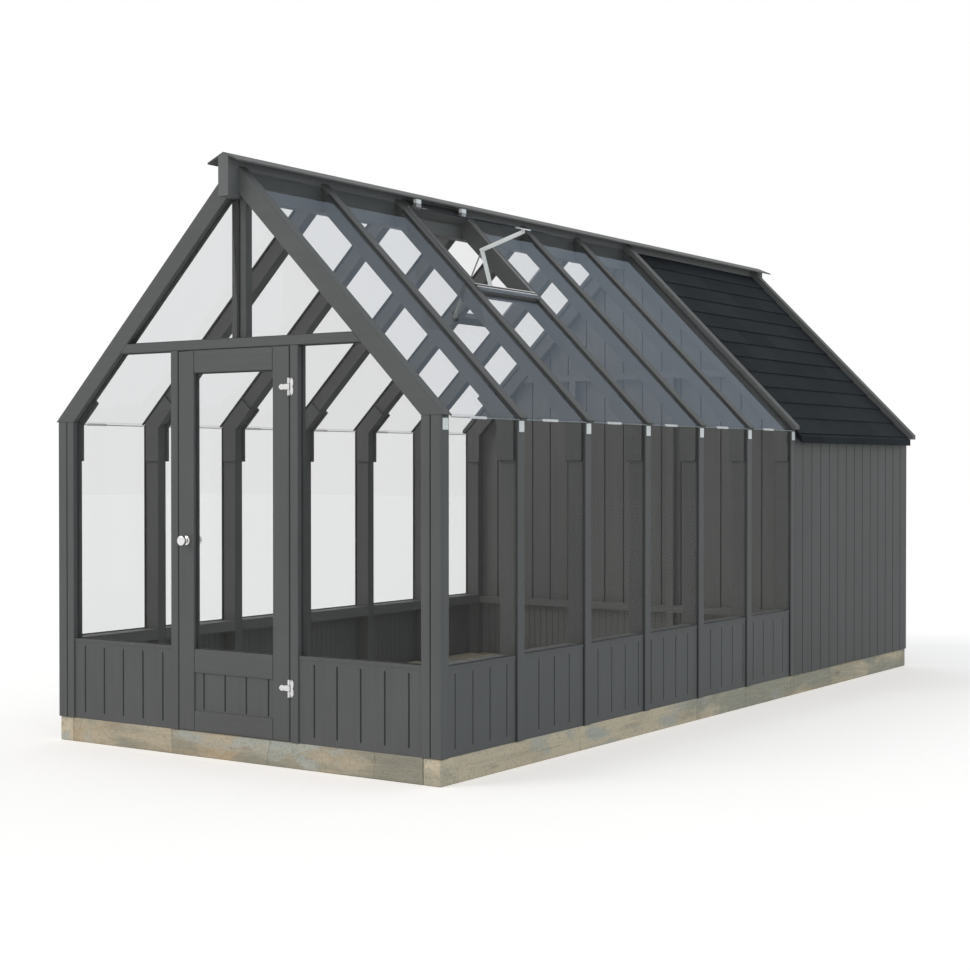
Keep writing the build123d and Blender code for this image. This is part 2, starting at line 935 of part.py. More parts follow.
def jamb_hinge_plates():
    """Upright hinge leaves on the jamb, each with two knuckles and the pin."""
    pieces = []
    front = y_front - hinge_plate_thickness
    for height in hinge_heights:
        z0 = height - hinge_plate_height / 2
        z1 = height + hinge_plate_height / 2
        gap_low = height - hinge_knuckle_height / 2 - hinge_end_clearance
        gap_high = height + hinge_knuckle_height / 2 + hinge_end_clearance
        plate_start = hinge_x + hinge_knuckle_radius + hinge_end_clearance
        shape = block(plate_start, plate_start + hinge_plate_width, front, y_front, z0, z1)
        for low, high in ((z0, gap_low), (gap_high, z1)):
            shape += block(hinge_x, plate_start, front, y_front, low, high)
            shape += upright_rod(hinge_knuckle_radius, low, high)
        pieces.append(shape + upright_rod(hinge_pin_radius, z0, z1))
    return pieces


def main():
    os.makedirs("parts", exist_ok=True)
    y_plinth_front = y_front + plinth_inset
    y_plinth_rear = y_rear - plinth_inset
    save("plinth_cross_beams", plinth_cross_beams())
    save("plinth_greenhouse_beams", plinth_long_beams(y_plinth_front, y_division))
    save("plinth_shed_beams", plinth_long_beams(y_division, y_plinth_rear))
    save("front_posts", front_posts())
    save("right_posts", right_posts())
    save("left_posts", mirrored(right_posts()))
    save("right_rafters", right_rafters())
    save("left_rafters", mirrored(right_rafters()))
    save("knee_plates", knee_plates())
    save("eave_brackets", eave_brackets())
    save("eave_clips", eave_clips())
    save("ridge_beam", ridge_beam())
    save("ridge_cap", ridge_cap())
    save("front_transom", front_transom())
    save("gable_mullion", gable_mullion())
    save("door_jambs", door_jambs())
    save("front_side_glass", front_side_glass())
    save("gable_glass", gable_glass())
    save("front_low_walls", front_low_walls())
    save("right_low_walls", right_low_walls())
    save("left_low_walls", mirrored(right_low_walls()))
    save("inner_sills", sills())
    save("right_side_glass", right_side_glass())
    save("left_side_glass", mirrored(right_side_glass()))
    save("right_roof_glass", roof_panes(vent_bay_right))
    save("left_roof_glass", mirrored(roof_panes(vent_bay_left)))
    save("partition_wall", partition_wall())
    save("partition_studs", partition_studs())
    save("partition_rails", partition_rails())
    save("shed_right_wall", shed_right_wall())
    save("shed_left_wall", mirrored(shed_right_wall()))
    save("shed_rear_posts", shed_rear_posts())
    save("shed_rear_wall", shed_rear_wall())
    save("shed_door", shed_door())
    save("shed_door_trim", shed_door_trim())
    save("shed_right_roof", shed_roof_slab())
    save("shed_left_roof", mirrored(shed_roof_slab()))
    save("shed_verge_rafters", shed_verge_rafters())
    save("vent_curbs", vent_curb(vent_bay_right) + mirrored(vent_curb(vent_bay_left)))
    save("vent_side_strips", vent_side_strips(vent_bay_right) + mirrored(vent_side_strips(vent_bay_left)))
    save("vent_open_sash", [vent_sash_glass(vent_bay_right, opened)])
    save("vent_shut_sash", mirrored([vent_sash_glass(vent_bay_left, shut)]))
    save("vent_hinges", vent_hinges(vent_bay_right, opened) + mirrored(vent_hinges(vent_bay_left, shut)))
    save("vent_opener_brackets", opener_brackets(vent_bay_right))
    save("vent_opener_arms", [opener_arms(vent_bay_right)])
    save("vent_opener_tube", [opener_tube(vent_bay_right)])
    save("jamb_hinge_plates", jamb_hinge_plates())
    save("door_stiles", door_stiles())
    save("door_rails", door_rails())
    panel_top = door_mid_rail_bottom
    panel_bottom = door_bottom + door_bottom_rail
    save("door_panel", door_infill(door_panel_recess, door_panel_thickness, panel_bottom, panel_top))
    glass_top = door_top - door_top_rail
    save("door_glass", door_infill(door_glass_recess, glass_thickness, door_mid_rail_top, glass_top))
    save("door_hinge_straps", door_hinge_straps())
    save("door_knobs", door_knob())


if __name__ == "__main__":
    main()
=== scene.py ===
"""Looks of a timber glass greenhouse with a boarded shed at its rear end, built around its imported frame."""
import math

import bpy
import numpy as np
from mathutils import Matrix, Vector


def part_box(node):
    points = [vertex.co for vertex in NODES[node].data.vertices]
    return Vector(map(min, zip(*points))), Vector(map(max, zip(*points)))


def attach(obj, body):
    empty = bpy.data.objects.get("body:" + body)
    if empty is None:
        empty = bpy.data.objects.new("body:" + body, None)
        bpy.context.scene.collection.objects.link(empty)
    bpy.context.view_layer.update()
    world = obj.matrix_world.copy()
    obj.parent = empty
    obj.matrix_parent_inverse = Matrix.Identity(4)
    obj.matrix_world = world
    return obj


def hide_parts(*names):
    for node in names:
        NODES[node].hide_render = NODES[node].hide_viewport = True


bl_info = {
    "name": "Timber greenhouse dresser",
    "version": (1, 0, 0),
    "blender": (4, 5, 0),
    "location": "View3D > Sidebar > Greenhouse",
    "description": "Adds boards, shingles, glazing beads, fittings and finishes to a timber greenhouse",
    "category": "Object",
}

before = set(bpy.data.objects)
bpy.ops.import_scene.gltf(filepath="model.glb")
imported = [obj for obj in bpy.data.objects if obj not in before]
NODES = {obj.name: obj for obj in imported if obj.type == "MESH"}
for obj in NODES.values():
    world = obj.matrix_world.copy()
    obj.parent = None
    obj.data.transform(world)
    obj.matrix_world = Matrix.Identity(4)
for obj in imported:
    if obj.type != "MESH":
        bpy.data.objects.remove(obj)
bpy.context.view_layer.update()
BUILDING = "building"
DOOR = "front_door_leaf"

FINISHES = {}
SIDES = ((1, "right"), (-1, "left"))

# Places read from the frame, in metres
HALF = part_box("right_posts")[1].x
POST_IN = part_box("right_posts")[0].x
POST_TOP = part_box("right_posts")[1].z
PLINTH_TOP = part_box("plinth_cross_beams")[1].z
Y_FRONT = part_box("front_posts")[0].y
Y_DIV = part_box("plinth_greenhouse_beams")[1].y
FRAME_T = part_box("front_posts")[1].y - Y_FRONT
BAYS = 6
PITCH = (Y_DIV - FRAME_T - Y_FRONT) / BAYS
LOW_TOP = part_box("right_low_walls")[1].z
LOW_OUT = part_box("right_low_walls")[1].x
LOW_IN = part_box("right_low_walls")[0].x
BEAM_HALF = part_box("ridge_beam")[1].x
BEAM_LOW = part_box("ridge_beam")[0].z
APEX = POST_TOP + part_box("right_rafters")[1].x
ROOT2 = math.sqrt(2)
RAFTER = 0.095
GLASS = 0.004
SIDE_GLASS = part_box("right_side_glass")[1].x
ROOF_GLASS = 0.011
ROOF_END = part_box("right_roof_glass")[1].x * ROOT2 + ROOF_GLASS
FRONT_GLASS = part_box("gable_glass")[0].y
VENTS = ((1, 2), (-1, 4))
SILL_START, SILL_END = 0.741, 0.797
HINGE_DOWN, HINGE_OUT, HINGE_SPREAD = 0.112, 0.014, 0.218
FIRST_COURSE, SHINGLE_SINK = 0.203, 0.010
DECK_SINK = 0.040
ROOF_START = 0.13
INNER_BOARD, FINE_HALF = 0.0475, 0.002
METAL = 0.003


def frame_y(index):
    return Y_FRONT + PITCH * index


def slope_point(down, out, y, side=1):
    """A point on a slope: down it from the ridge line, square out from the rafters' faces, along the building."""
    x = side * (np.asarray(down) + np.asarray(out)) / ROOT2
    z = APEX - (np.asarray(down) - np.asarray(out)) / ROOT2
    x, y, z = np.broadcast_arrays(x, np.asarray(y, float), z)
    return np.stack([x, y, z], axis=-1)


# Meshes
def swept(sections, ring=False):
    """Skin over closed sections in order: quads join point j of section i to its neighbours, and flat ends close it.

    sections is an array of shape (count, points, 3). A ring also joins the last section to the first.
    """
    sections = np.asarray(sections, float)
    count, points = sections.shape[:2]
    index = np.arange(count * points).reshape(count, points)
    nxt = np.roll(index, -1, axis=1)
    if ring:
        after, after_nxt = np.roll(index, -1, axis=0), np.roll(nxt, -1, axis=0)
        quads = np.stack([index, nxt, after_nxt, after], axis=-1).reshape(-1, 4)
        faces = quads.tolist()
    else:
        quads = np.stack([index[:-1], nxt[:-1], nxt[1:], index[1:]], axis=-1).reshape(-1, 4)
        faces = quads.tolist() + [index[0][::-1].tolist(), index[-1].tolist()]
    verts = sections.reshape(-1, 3)
    a, b, c, d = (verts[quads[:, k]] for k in range(4))
    centre = verts.mean(axis=0)
    volume = np.einsum("ij,ij->i", a - centre, np.cross(b - centre, c - centre))
    volume = volume + np.einsum("ij,ij->i", a - centre, np.cross(c - centre, d - centre))
    if volume.sum() < 0:
        faces = [face[::-1] for face in faces]
    return verts, faces


def joined(parts):
    """One list of points and faces from many."""
    verts, faces, start = [], [], 0
    for points, polygons in parts:
        verts.append(points)
        faces.extend([[k + start for k in polygon] for polygon in polygons])
        start += len(points)
    return np.concatenate(verts), faces


def piece(name, parts, finish, body=BUILDING, stands_for=(), smooth=False):
    """Make one object of the parts, give it a finish by name and let it ride on a body."""
    verts, faces = joined(parts)
    mesh = bpy.data.meshes.new(name)
    mesh.from_pydata(verts.tolist(), [], faces)
    mesh.materials.append(FINISHES[finish])
    if smooth:
        mesh.polygons.foreach_set("use_smooth", np.ones(len(mesh.polygons), bool))
    mesh.validate()
    mesh.update()
    made = bpy.data.objects.new(name, mesh)
    bpy.context.scene.collection.objects.link(made)
    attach(made, body)
    if stands_for:
        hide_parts(*stands_for)
    return made


def chamfered(width, depth, cut):
    """Corner points of a rectangle with its corners cut off, about its middle."""
    w, d = width / 2, depth / 2
    return np.array([
        (w - cut, -d), (w, -d + cut), (w, d - cut), (w - cut, d),
        (-w + cut, d), (-w, d - cut), (-w, -d + cut), (-w + cut, -d),
    ])


def bar(x0, x1, y0, y1, z0, z1, cut=0.003):
    """Squared timber with eased edges: a cut-cornered section along its longest side, drawn in at both ends."""
    low, high = np.array([x0, y0, z0], float), np.array([x1, y1, z1], float)
    size = high - low
    along = int(np.argmax(size))
    across = [k for k in range(3) if k != along]
    cut = min(cut, size[across].min() * 0.4)
    full = chamfered(size[across[0]], size[across[1]], cut)
    small = chamfered(size[across[0]] - 2 * cut, size[across[1]] - 2 * cut, cut * 0.2)
    places = np.array([0, cut, size[along] - cut, size[along]])
    loops = np.stack([small, full, full, small])
    sections = np.zeros((4, 8, 3))
    middle = (low + high) / 2
    sections[:, :, across[0]] = middle[across[0]] + loops[:, :, 0]
    sections[:, :, across[1]] = middle[across[1]] + loops[:, :, 1]
    sections[:, :, along] = (low[along] + places)[:, None]
    return swept(sections)


def uprights(low, high, width, cut):
    """Two timbers at the left and right ends of a box."""
    ends = ((low.x, low.x + width), (high.x - width, high.x))
    return [bar(x0, x1, low.y, high.y, low.z, high.z, cut) for x0, x1 in ends]


def grooved(stations, levels, front, back, place):
    """Board wall: at each station along it, a closed loop up its grooved front and down its back.

    front and back give the depth in and out as functions of station and level; place turns station, depth and level
    into a point.
    """
    u, v = np.meshgrid(stations, levels, indexing="ij")
    face = place(u, front(u, v), v)
    rear = place(u[:, ::-1], back(u, v)[:, ::-1], v[:, ::-1])
    return swept(np.concatenate([face, rear], axis=1))


def groove_stations(start, end, grooves, half=0.005):
    """Places along a wall: its ends, and the lips and the bottom of each groove."""
    grooves = np.array([g for g in grooves if start + 2 * half < g < end - 2 * half], float)
    lips = (grooves[:, None] + np.array([-half, -half * 0.25, half * 0.25, half])).reshape(-1)
    return np.concatenate([[start], lips, [end]]), grooves


def groove_depth(u, grooves, half=0.005, depth=0.010):
    """Depth of a V groove at u: full at its middle, none at its lips."""
    if len(grooves) == 0:
        return np.zeros_like(u)
    gap = np.abs(u[..., None] - grooves).min(axis=-1)
    return depth * np.clip((half - gap) / (half * 0.75), 0, 1)


def turned(profile, centre, axis, count=40):
    """Round piece: a profile of (radius, along) points carried round an axis through a centre."""
    axis = np.asarray(axis, float) / np.linalg.norm(axis)
    helper = np.array([1.0, 0, 0]) if abs(axis[0]) < 0.9 else np.array([0, 1.0, 0])
    first = np.cross(axis, helper)
    first /= np.linalg.norm(first)
    second = np.cross(axis, first)
    angle = np.linspace(0, 2 * np.pi, count, endpoint=False)
    profile = np.asarray(profile, float)
    ring = np.cos(angle)[:, None] * first + np.sin(angle)[:, None] * second
    points = profile[:, 0, None, None] * ring[None] + profile[:, 1, None, None] * axis
    return swept(points + np.asarray(centre, float))


def screw(centre, axis, radius=0.004):
    """Domed screw head on a face."""
    profile = [(radius, 0), (radius, radius * 0.25), (radius * 0.75, radius * 0.5), (radius * 0.3, radius * 0.6)]
    return turned(profile, centre, axis, 14)


def mirrored(parts):
    """The same parts on the left-hand side."""
    return [(points * np.array([-1.0, 1, 1]), [face[::-1] for face in faces]) for points, faces in parts]


def both_sides(parts):
    return parts + mirrored(parts)


def inset(points, distance):
    """Outline drawn in by a distance: each corner moves along the sum of its two sides' inward normals."""
    points = np.asarray(points, float)
    ahead = np.roll(points, -1, axis=0) - points
    area = np.sum(points[:, 0] * np.roll(points[:, 1], -1) - np.roll(points[:, 0], -1) * points[:, 1])
    normal = np.stack([-ahead[:, 1], ahead[:, 0]], axis=1) * np.sign(area)
    normal /= np.linalg.norm(normal, axis=1, keepdims=True)
    before = np.roll(normal, 1, axis=0)
    share = 1 + np.sum(before * normal, axis=1, keepdims=True)
    return points + distance * (before + normal) / share


def flat(points, y):
    """Points of the gable's plane, given across and up, at a place along the building."""
    points = np.asarray(points, float)
    return np.stack([points[:, 0], np.full(len(points), y), points[:, 1]], axis=1)


def cutout(points, y0, y1, cut=0.001):
    """Flat piece with an outline in the gable's plane and eased edges: the outline drawn in at both faces."""
    small = inset(points, cut)
    return swept([flat(small, y0), flat(points, y0 + cut), flat(points, y1 - cut), flat(small, y1)])


def bead_ring(points, width, y0, y1, slope=0.0015):
    """Strip round the inside of an outline: a four-sided section carried from corner to corner."""
    points = np.asarray(points, float)
    inner, brow = inset(points, width), inset(points, width - slope)
    return swept(np.stack([flat(points, y0), flat(brow, y0), flat(inner, y1), flat(points, y1)], axis=1), ring=True)


def slope_strip(down0, down1, out0, out1, y0, y1, side=1):
    """Straight strip on a slope: its square section carried from one place down the slope to another."""
    outs = np.array([out0, out0, out1, out1])
    ys = np.array([y0, y1, y1, y0])
    return swept(np.stack([slope_point(down, outs, ys, side) for down in (down0, down1)]))


def slope_timber(y0, y1, depth, side, top, foot, cut):
    """Rafter: a cut-cornered section carried down the slope, each of its edges cut off by the plane at either end.

    top and foot give the place down the slope at which an edge starts and ends, from its distance out.
    """
    corners = chamfered(y1 - y0, depth, cut)
    ys, outs = (y0 + y1) / 2 + corners[:, 0], corners[:, 1] - depth / 2
    return swept(np.stack([slope_point(top(outs), outs, ys, side), slope_point(foot(outs), outs, ys, side)]))


def bands(bounds, v):
    """Height at band number v: whole numbers are the bounds, and what lies between them is shared out evenly."""
    place = np.clip(v, 0, len(bounds) - 1)
    low = np.minimum(place.astype(int), len(bounds) - 2)
    part = place - low
    stack = np.stack(bounds)
    below = np.take_along_axis(stack, low[None], 0)[0]
    above = np.take_along_axis(stack, low[None] + 1, 0)[0]
    return below * (1 - part) + above * part


def gable_boards(x0, x1, low, top, face, way, thick, wide, rail=None, fine=(), half=0.005, sunk=0.010):
    """Upright boarding under a sloping top: stations across it, each rising in bands from low through rail to top.

    way is 1 where the face looks back along the building and -1 where it looks forward. Board joints are V grooves,
    the wide ones above the rail and the fine ones below it.
    """
    marks = [groove_stations(x0, x1, wide, half)[0], groove_stations(x0, x1, fine, FINE_HALF)[0]]
    bends = [x for x in (-BEAM_HALF - 1e-4, -BEAM_HALF, BEAM_HALF, BEAM_HALF + 1e-4) if x0 < x < x1]
    stations = np.unique(np.concatenate(marks + [bends]).round(5))
    wide = np.asarray([g for g in wide if x0 + 2 * half < g < x1 - 2 * half])
    fine = np.asarray([g for g in fine if x0 + 2 * FINE_HALF < g < x1 - 2 * FINE_HALF])
    levels = np.array([0, 1.0]) if rail is None else np.array([0, 0.999, 1.001, 2.0])

    def depth(u, v):
        upper = groove_depth(u, wide, half, sunk)
        return upper if rail is None else np.where(v < 1, groove_depth(u, fine, FINE_HALF, 0.004), upper)

    def place(u, d, v):
        lower = [low] if rail is None else [low, rail]
        bounds = [np.full(u.shape, height) for height in lower] + [top(u)]
        return np.stack([u, face - way * d, bands(bounds, v)], axis=-1)

    return grooved(stations, levels, depth, lambda u, v: np.full(u.shape, thick), place)


def under_roof(sink):
    """Height of the underside of a roof covering across the gable, stepped down to the ridge beam's underside."""
    return lambda u: np.where(np.abs(u) > BEAM_HALF, APEX - sink * ROOT2 - np.abs(u), BEAM_LOW)


# Finishes
class Shade:
    """A shader value: arithmetic on it adds Math nodes to its tree."""

    def __init__(self, finish, socket):
        self.finish, self.socket = finish, socket

    def math(self, operation, first, second):
        return self.finish.node("ShaderNodeMath", {"operation": operation}, {0: first, 1: second})

    def __add__(self, other):
        return self.math("ADD", self, other)

    __radd__ = __add__

    def __sub__(self, other):
        return self.math("SUBTRACT", self, other)

    def __rsub__(self, other):
        return self.math("SUBTRACT", other, self)

    def __mul__(self, other):
        return self.math("MULTIPLY", self, other)

    __rmul__ = __mul__

    def __truediv__(self, other):
        return self.math("DIVIDE", self, other)

    def __pow__(self, other):
        return self.math("POWER", self, other)

    def floor(self):
        return self.math("FLOOR", self, 0.0)

    def fraction(self):
        return self.math("FRACT", self, 0.0)

    def smooth(self, low, high):
        return self.finish.node(
            "ShaderNodeMapRange",
            {"interpolation_type": "SMOOTHSTEP"},
            {"Value": self, "From Min": low, "From Max": high},
        )


class Finish:
    """One material, or the world, and the nodes in it."""

    def __init__(self, name, world=None):
        self.owner = world or bpy.data.materials.new(name)
        self.owner.use_nodes = True
        self.tree = self.owner.node_tree
        self.tree.nodes.clear()
        self.output = self.tree.nodes.new("ShaderNodeOutputWorld" if world else "ShaderNodeOutputMaterial")

    def node(self, kind, settings=None, sockets=None, out=0):
        made = self.tree.nodes.new(kind)
        for key, value in (settings or {}).items():
            setattr(made, key, value)
        for key, value in (sockets or {}).items():
            if isinstance(value, Shade):
                self.tree.links.new(value.socket, made.inputs[key])
            else:
                made.inputs[key].default_value = value
        return Shade(self, made.outputs[out])

    def place(self):
        return self.node("ShaderNodeTexCoord", out="Object")

    def mapped(self, scale, turn=(0, 0, 0), shift=(0, 0, 0)):
        sockets = {"Vector": self.place(), "Scale": scale, "Rotation": turn, "Location": shift}
        return self.node("ShaderNodeMapping", {}, sockets)

    def noise(self, vector, scale=1.0, detail=3.0, rough=0.55, warp=0.0):
        return self.node(
            "ShaderNodeTexNoise",
            {},
            {"Vector": vector, "Scale": scale, "Detail": detail, "Roughness": rough, "Distortion": warp},
        )

    def blend(self, factor, first, second):
        return self.node("ShaderNodeMix", {"data_type": "RGBA"}, {0: factor, 6: first, 7: second}, out=2)

    def bump(self, height, strength, distance):
        return self.node("ShaderNodeBump", {}, {"Height": height, "Strength": strength, "Distance": distance})

    def rays(self, *kinds):
        """1 for light rays of the given kinds, 0 for others."""
        shades = [self.node("ShaderNodeLightPath", out=f"Is {kind} Ray") for kind in kinds]
        return sum(shades[1:], shades[0])

    def mix(self, factor, first, second):
        return self.node("ShaderNodeMixShader", {}, {0: factor, 1: first, 2: second})

    def close(self, shader):
        self.tree.links.new(shader.socket, self.output.inputs["Surface"])
        return self.owner

    def surface(self, sockets):
        return self.close(self.node("ShaderNodeBsdfPrincipled", {}, sockets, out="BSDF"))


def rgba(colour):
    return (colour[0], colour[1], colour[2], 1.0)


def scaled(colour, factor):
    return tuple(min(1.0, channel * factor) for channel in colour)


GRAINS = {
    "upright": ((38, 38, 1.6), (0, 0, 0)),
    "long": ((38, 1.6, 38), (0, 0, 0)),
    "cross": ((1.6, 38, 38), (0, 0, 0)),
    "right_slope": ((1.6, 38, 38), (0, math.radians(-45), 0)),
    "left_slope": ((1.6, 38, 38), (0, math.radians(45), 0)),
}


def paint_finish(colour, grain, mark=""):
    """Opaque paint on planed softwood: faint grain under it, small changes of shade and sheen, brush marks."""
    scale, turn = GRAINS[grain]
    f = Finish("paint_" + mark + grain)
    streak = f.noise(f.mapped(scale, turn), 1.0, 5.0, 0.6, 0.4)
    brush = f.noise(f.mapped(tuple(s * 4 for s in scale), turn), 1.0, 2.0)
    blotch = f.noise(f.place(), 1.7, 3.0)
    dust = f.noise(f.place(), 90.0, 2.0)
    shade = streak * 0.45 + blotch * 0.35 + dust * 0.2
    base = f.blend(shade.smooth(0.28, 0.72), rgba(scaled(colour, 0.88)), rgba(scaled(colour, 1.12)))
    height = streak * 0.7 + brush * 0.3
    return f.surface({
        "Base Color": base, "Roughness": 0.5 + streak * 0.2, "Specular IOR Level": 0.3,
        "Normal": f.bump(height, 0.22, 0.0012),
    })


def plinth_finish(pale, dark, grain):
    """Weathered sleepers: lengths of beige, tan and grey wood, soft blotches, grain, knots and short dark checks."""
    scale, turn = GRAINS[grain]
    f = Finish("weathered_" + grain)
    axes = f.node("ShaderNodeSeparateXYZ", {}, {"Vector": f.place()}, out="Y" if grain == "long" else "X")
    blotch = f.noise(f.mapped(tuple(2.2 if s < 10 else 7.0 for s in scale), turn), 1.0, 4.0, 0.6, 1.6)
    moss = f.noise(f.mapped(tuple(1.5 if s < 10 else 6.0 for s in scale), turn, (4.3, 2.9, 7.7)), 1.0, 5.0, 0.62, 0.8)
    band = f.noise(f.mapped(tuple(s * 0.8 for s in scale), turn), 1.0, 6.0, 0.62, 0.9)
    fibre = f.noise(f.mapped(tuple(s * 5 for s in scale), turn), 1.0, 3.0)
    grit = f.noise(f.place(), 85.0, 5.0, 0.7)
    waver = f.noise(f.place(), 9.0, 2.0)
    place = axes * 1.55 + waver * 0.10 + 0.62
    key = f.node("ShaderNodeCombineXYZ", {}, {"X": place.floor(), "Y": 3.7, "Z": 1.3})
    tone = f.node("ShaderNodeTexWhiteNoise", {"noise_dimensions": "3D"}, {"Vector": key}, out="Value")
    part = place.fraction()
    joint = (1 - part.smooth(0.003, 0.010)) * moss.smooth(0.42, 0.5)
    knot = f.node("ShaderNodeTexVoronoi", {"feature": "F1"},
                  {"Vector": f.mapped(tuple(2.3 if s < 10 else 9.0 for s in scale), turn), "Scale": 1.0})
    ring = 1 - knot.smooth(0.03, 0.16)
    coarse = f.mapped(tuple(s * 0.5 for s in scale), turn, (3.1, 1.7, 0.4))
    check = 1 - f.noise(coarse, 1.0, 4.0, 0.7, 0.5).smooth(0.29, 0.34)
    tan = tuple(c * k for c, k in zip(pale, (0.87, 0.76, 0.65)))
    drift = f.noise(f.mapped(tuple(0.9 if s < 10 else 1.6 for s in scale), turn, (8.4, 8.4, 1.0)), 1.0, 3.0, 0.6, 0.6)
    wood = f.blend((tone * 0.18 + blotch * 0.85).smooth(0.40, 0.72), rgba(pale), rgba(tan))
    wood = f.blend((moss * 0.6 + drift * 0.5 + tone * 0.12).smooth(0.53, 0.68) * 0.85, wood, rgba(dark))
    wood = f.blend((1 - drift).smooth(0.5, 0.62) * blotch.smooth(0.45, 0.6) * 0.85, wood, rgba((0.43, 0.44, 0.405)))
    wood = f.blend(band.smooth(0.52, 0.72) * 0.35, wood, rgba(scaled(dark, 0.75)))
    wood = f.blend(fibre.smooth(0.4, 0.8) * 0.3, wood, rgba(scaled(pale, 1.25)))
    wood = f.blend(grit.smooth(0.5, 0.7) * 0.55, wood, rgba(scaled(dark, 0.62)))
    wood = f.blend(ring * 0.5, wood, rgba((0.17, 0.12, 0.075)))
    wood = f.blend((check + joint) * 0.5, wood, rgba((0.10, 0.09, 0.07)))
    height = band * 0.5 + fibre * 0.3 + grit * 0.2 - check * 0.7 - joint * 0.8 - ring * 0.2
    return f.surface({"Base Color": wood, "Roughness": 0.8 + fibre * 0.15, "Normal": f.bump(height, 0.5, 0.003)})


def shingle_finish(colour, course):
    """Mineral-faced shingle: granules, each strip a little lighter or darker than the next."""
    f = Finish("shingle_granules")
    along = f.node("ShaderNodeSeparateXYZ", {}, {"Vector": f.place()}, out="Y")
    height = f.node("ShaderNodeSeparateXYZ", {}, {"Vector": f.place()}, out="Z")
    row = (((APEX - height) * ROOT2 - FIRST_COURSE - SHINGLE_SINK) / course).floor()
    column = (along / 0.43 + row * 0.37).floor()
    key = f.node("ShaderNodeCombineXYZ", {}, {"X": row, "Y": column, "Z": 0.5})
    tone = f.node("ShaderNodeTexWhiteNoise", {"noise_dimensions": "3D"}, {"Vector": key}, out="Value")
    grain = f.node("ShaderNodeTexVoronoi", {"feature": "F1"}, {"Vector": f.place(), "Scale": 420.0})
    speck = f.node("ShaderNodeTexVoronoi", {"feature": "F1"}, {"Vector": f.place(), "Scale": 190.0}, out="Color")
    light = f.node("ShaderNodeSeparateColor", {}, {"Color": speck}, out=0)
    cloud = f.noise(f.place(), 5.0, 4.0)
    mix = tone * 0.4 + light * 0.35 + cloud * 0.25
    base = f.blend(mix.smooth(0.15, 0.9), rgba(scaled(colour, 0.6)), rgba(scaled(colour, 1.5)))
    return f.surface({
        "Base Color": base, "Roughness": 0.84 + light * 0.12, "Specular IOR Level": 0.15,
        "Normal": f.bump(grain * -1.0 + cloud * 0.4, 0.6, 0.0015),
    })


def metal_finish(name, colour, rough, grain=220.0):
    """Bare or plated metal: fine uneven sheen and faint handling marks."""
    f = Finish(name)
    haze = f.noise(f.place(), grain, 3.0)
    smear = f.noise(f.place(), 14.0, 4.0)
    base = f.blend(smear.smooth(0.3, 0.8), rgba(scaled(colour, 0.9)), rgba(colour))
    return f.surface({
        "Base Color": base, "Metallic": 1.0, "Roughness": rough + haze * 0.12,
        "Normal": f.bump(haze, 0.06, 0.0004),
    })


def coated_finish(name, colour, rough):
    """Dull coating or rubber with a fine skin."""
    f = Finish(name)
    skin = f.noise(f.place(), 260.0, 3.0)
    soot = f.noise(f.place(), 9.0, 3.0)
    base = f.blend(soot, rgba(scaled(colour, 0.8)), rgba(scaled(colour, 1.2)))
    return f.surface({"Base Color": base, "Roughness": rough + skin * 0.15, "Normal": f.bump(skin, 0.12, 0.0004)})


def glass_finish(name, tint, sheen):
    """Thin clear sheet: light passes straight through, and more is thrown back the flatter the view."""
    f = Finish(name)
    shadow = f.rays("Shadow")
    tinted = f.node("ShaderNodeBsdfTransparent", {}, {"Color": rgba(tint)}, out="BSDF")
    plain = f.node("ShaderNodeBsdfTransparent", {}, {"Color": rgba((1, 1, 1))}, out="BSDF")
    clear = f.mix(shadow, tinted, plain)
    gloss = f.node("ShaderNodeBsdfGlossy", {}, {"Color": rgba(sheen), "Roughness": 0.015}, out="BSDF")
    edge = f.node("ShaderNodeFresnel", {}, {"IOR": 1.5})
    inside = f.node("ShaderNodeNewGeometry", out="Backfacing")
    return f.close(f.mix(edge * (1 - inside) * (1 - shadow), clear, gloss))


def milky_finish(name, colour):
    """White plastic that lets half of the light through."""
    f = Finish(name)
    matt = f.node("ShaderNodeBsdfDiffuse", {}, {"Color": rgba(colour)}, out="BSDF")
    through = f.node("ShaderNodeBsdfTranslucent", {}, {"Color": rgba(colour)}, out="BSDF")
    return f.close(f.mix(0.5, matt, through))


# Each finish's material name, colour and roughness
METALS = {
    "steel": ("zinc_steel", (0.78, 0.78, 0.78), 0.26),
    "aluminium": ("mill_aluminium", (0.90, 0.91, 0.92), 0.34),
    "chrome": ("bright_chrome", (0.82, 0.82, 0.82), 0.08),
    "strip": ("dull_strip", (0.30, 0.315, 0.33), 0.45),
}
COATS = {
    "zinc": ("zinc_plate", (0.74, 0.745, 0.74), 0.3),
    "tube": ("black_tube", (0.05, 0.052, 0.05), 0.4),
    "cylinder": ("olive_cylinder", (0.26, 0.265, 0.235), 0.45),
    "white": ("white_fittings", (0.93, 0.93, 0.92), 0.35),
    # Dark rubber finish: real seals round the panes and vents, and also dark strips of painted shade beside the posts
    # and rafters and under the knee plates
    "rubber": ("glazing_rubber", (0.022, 0.023, 0.025), 0.55),
}
MILKY = {
    "glass_edge": ("glass_edge", (0.42, 0.46, 0.47)),
    "milky": ("milky_plastic", (0.92, 0.92, 0.92)),
}

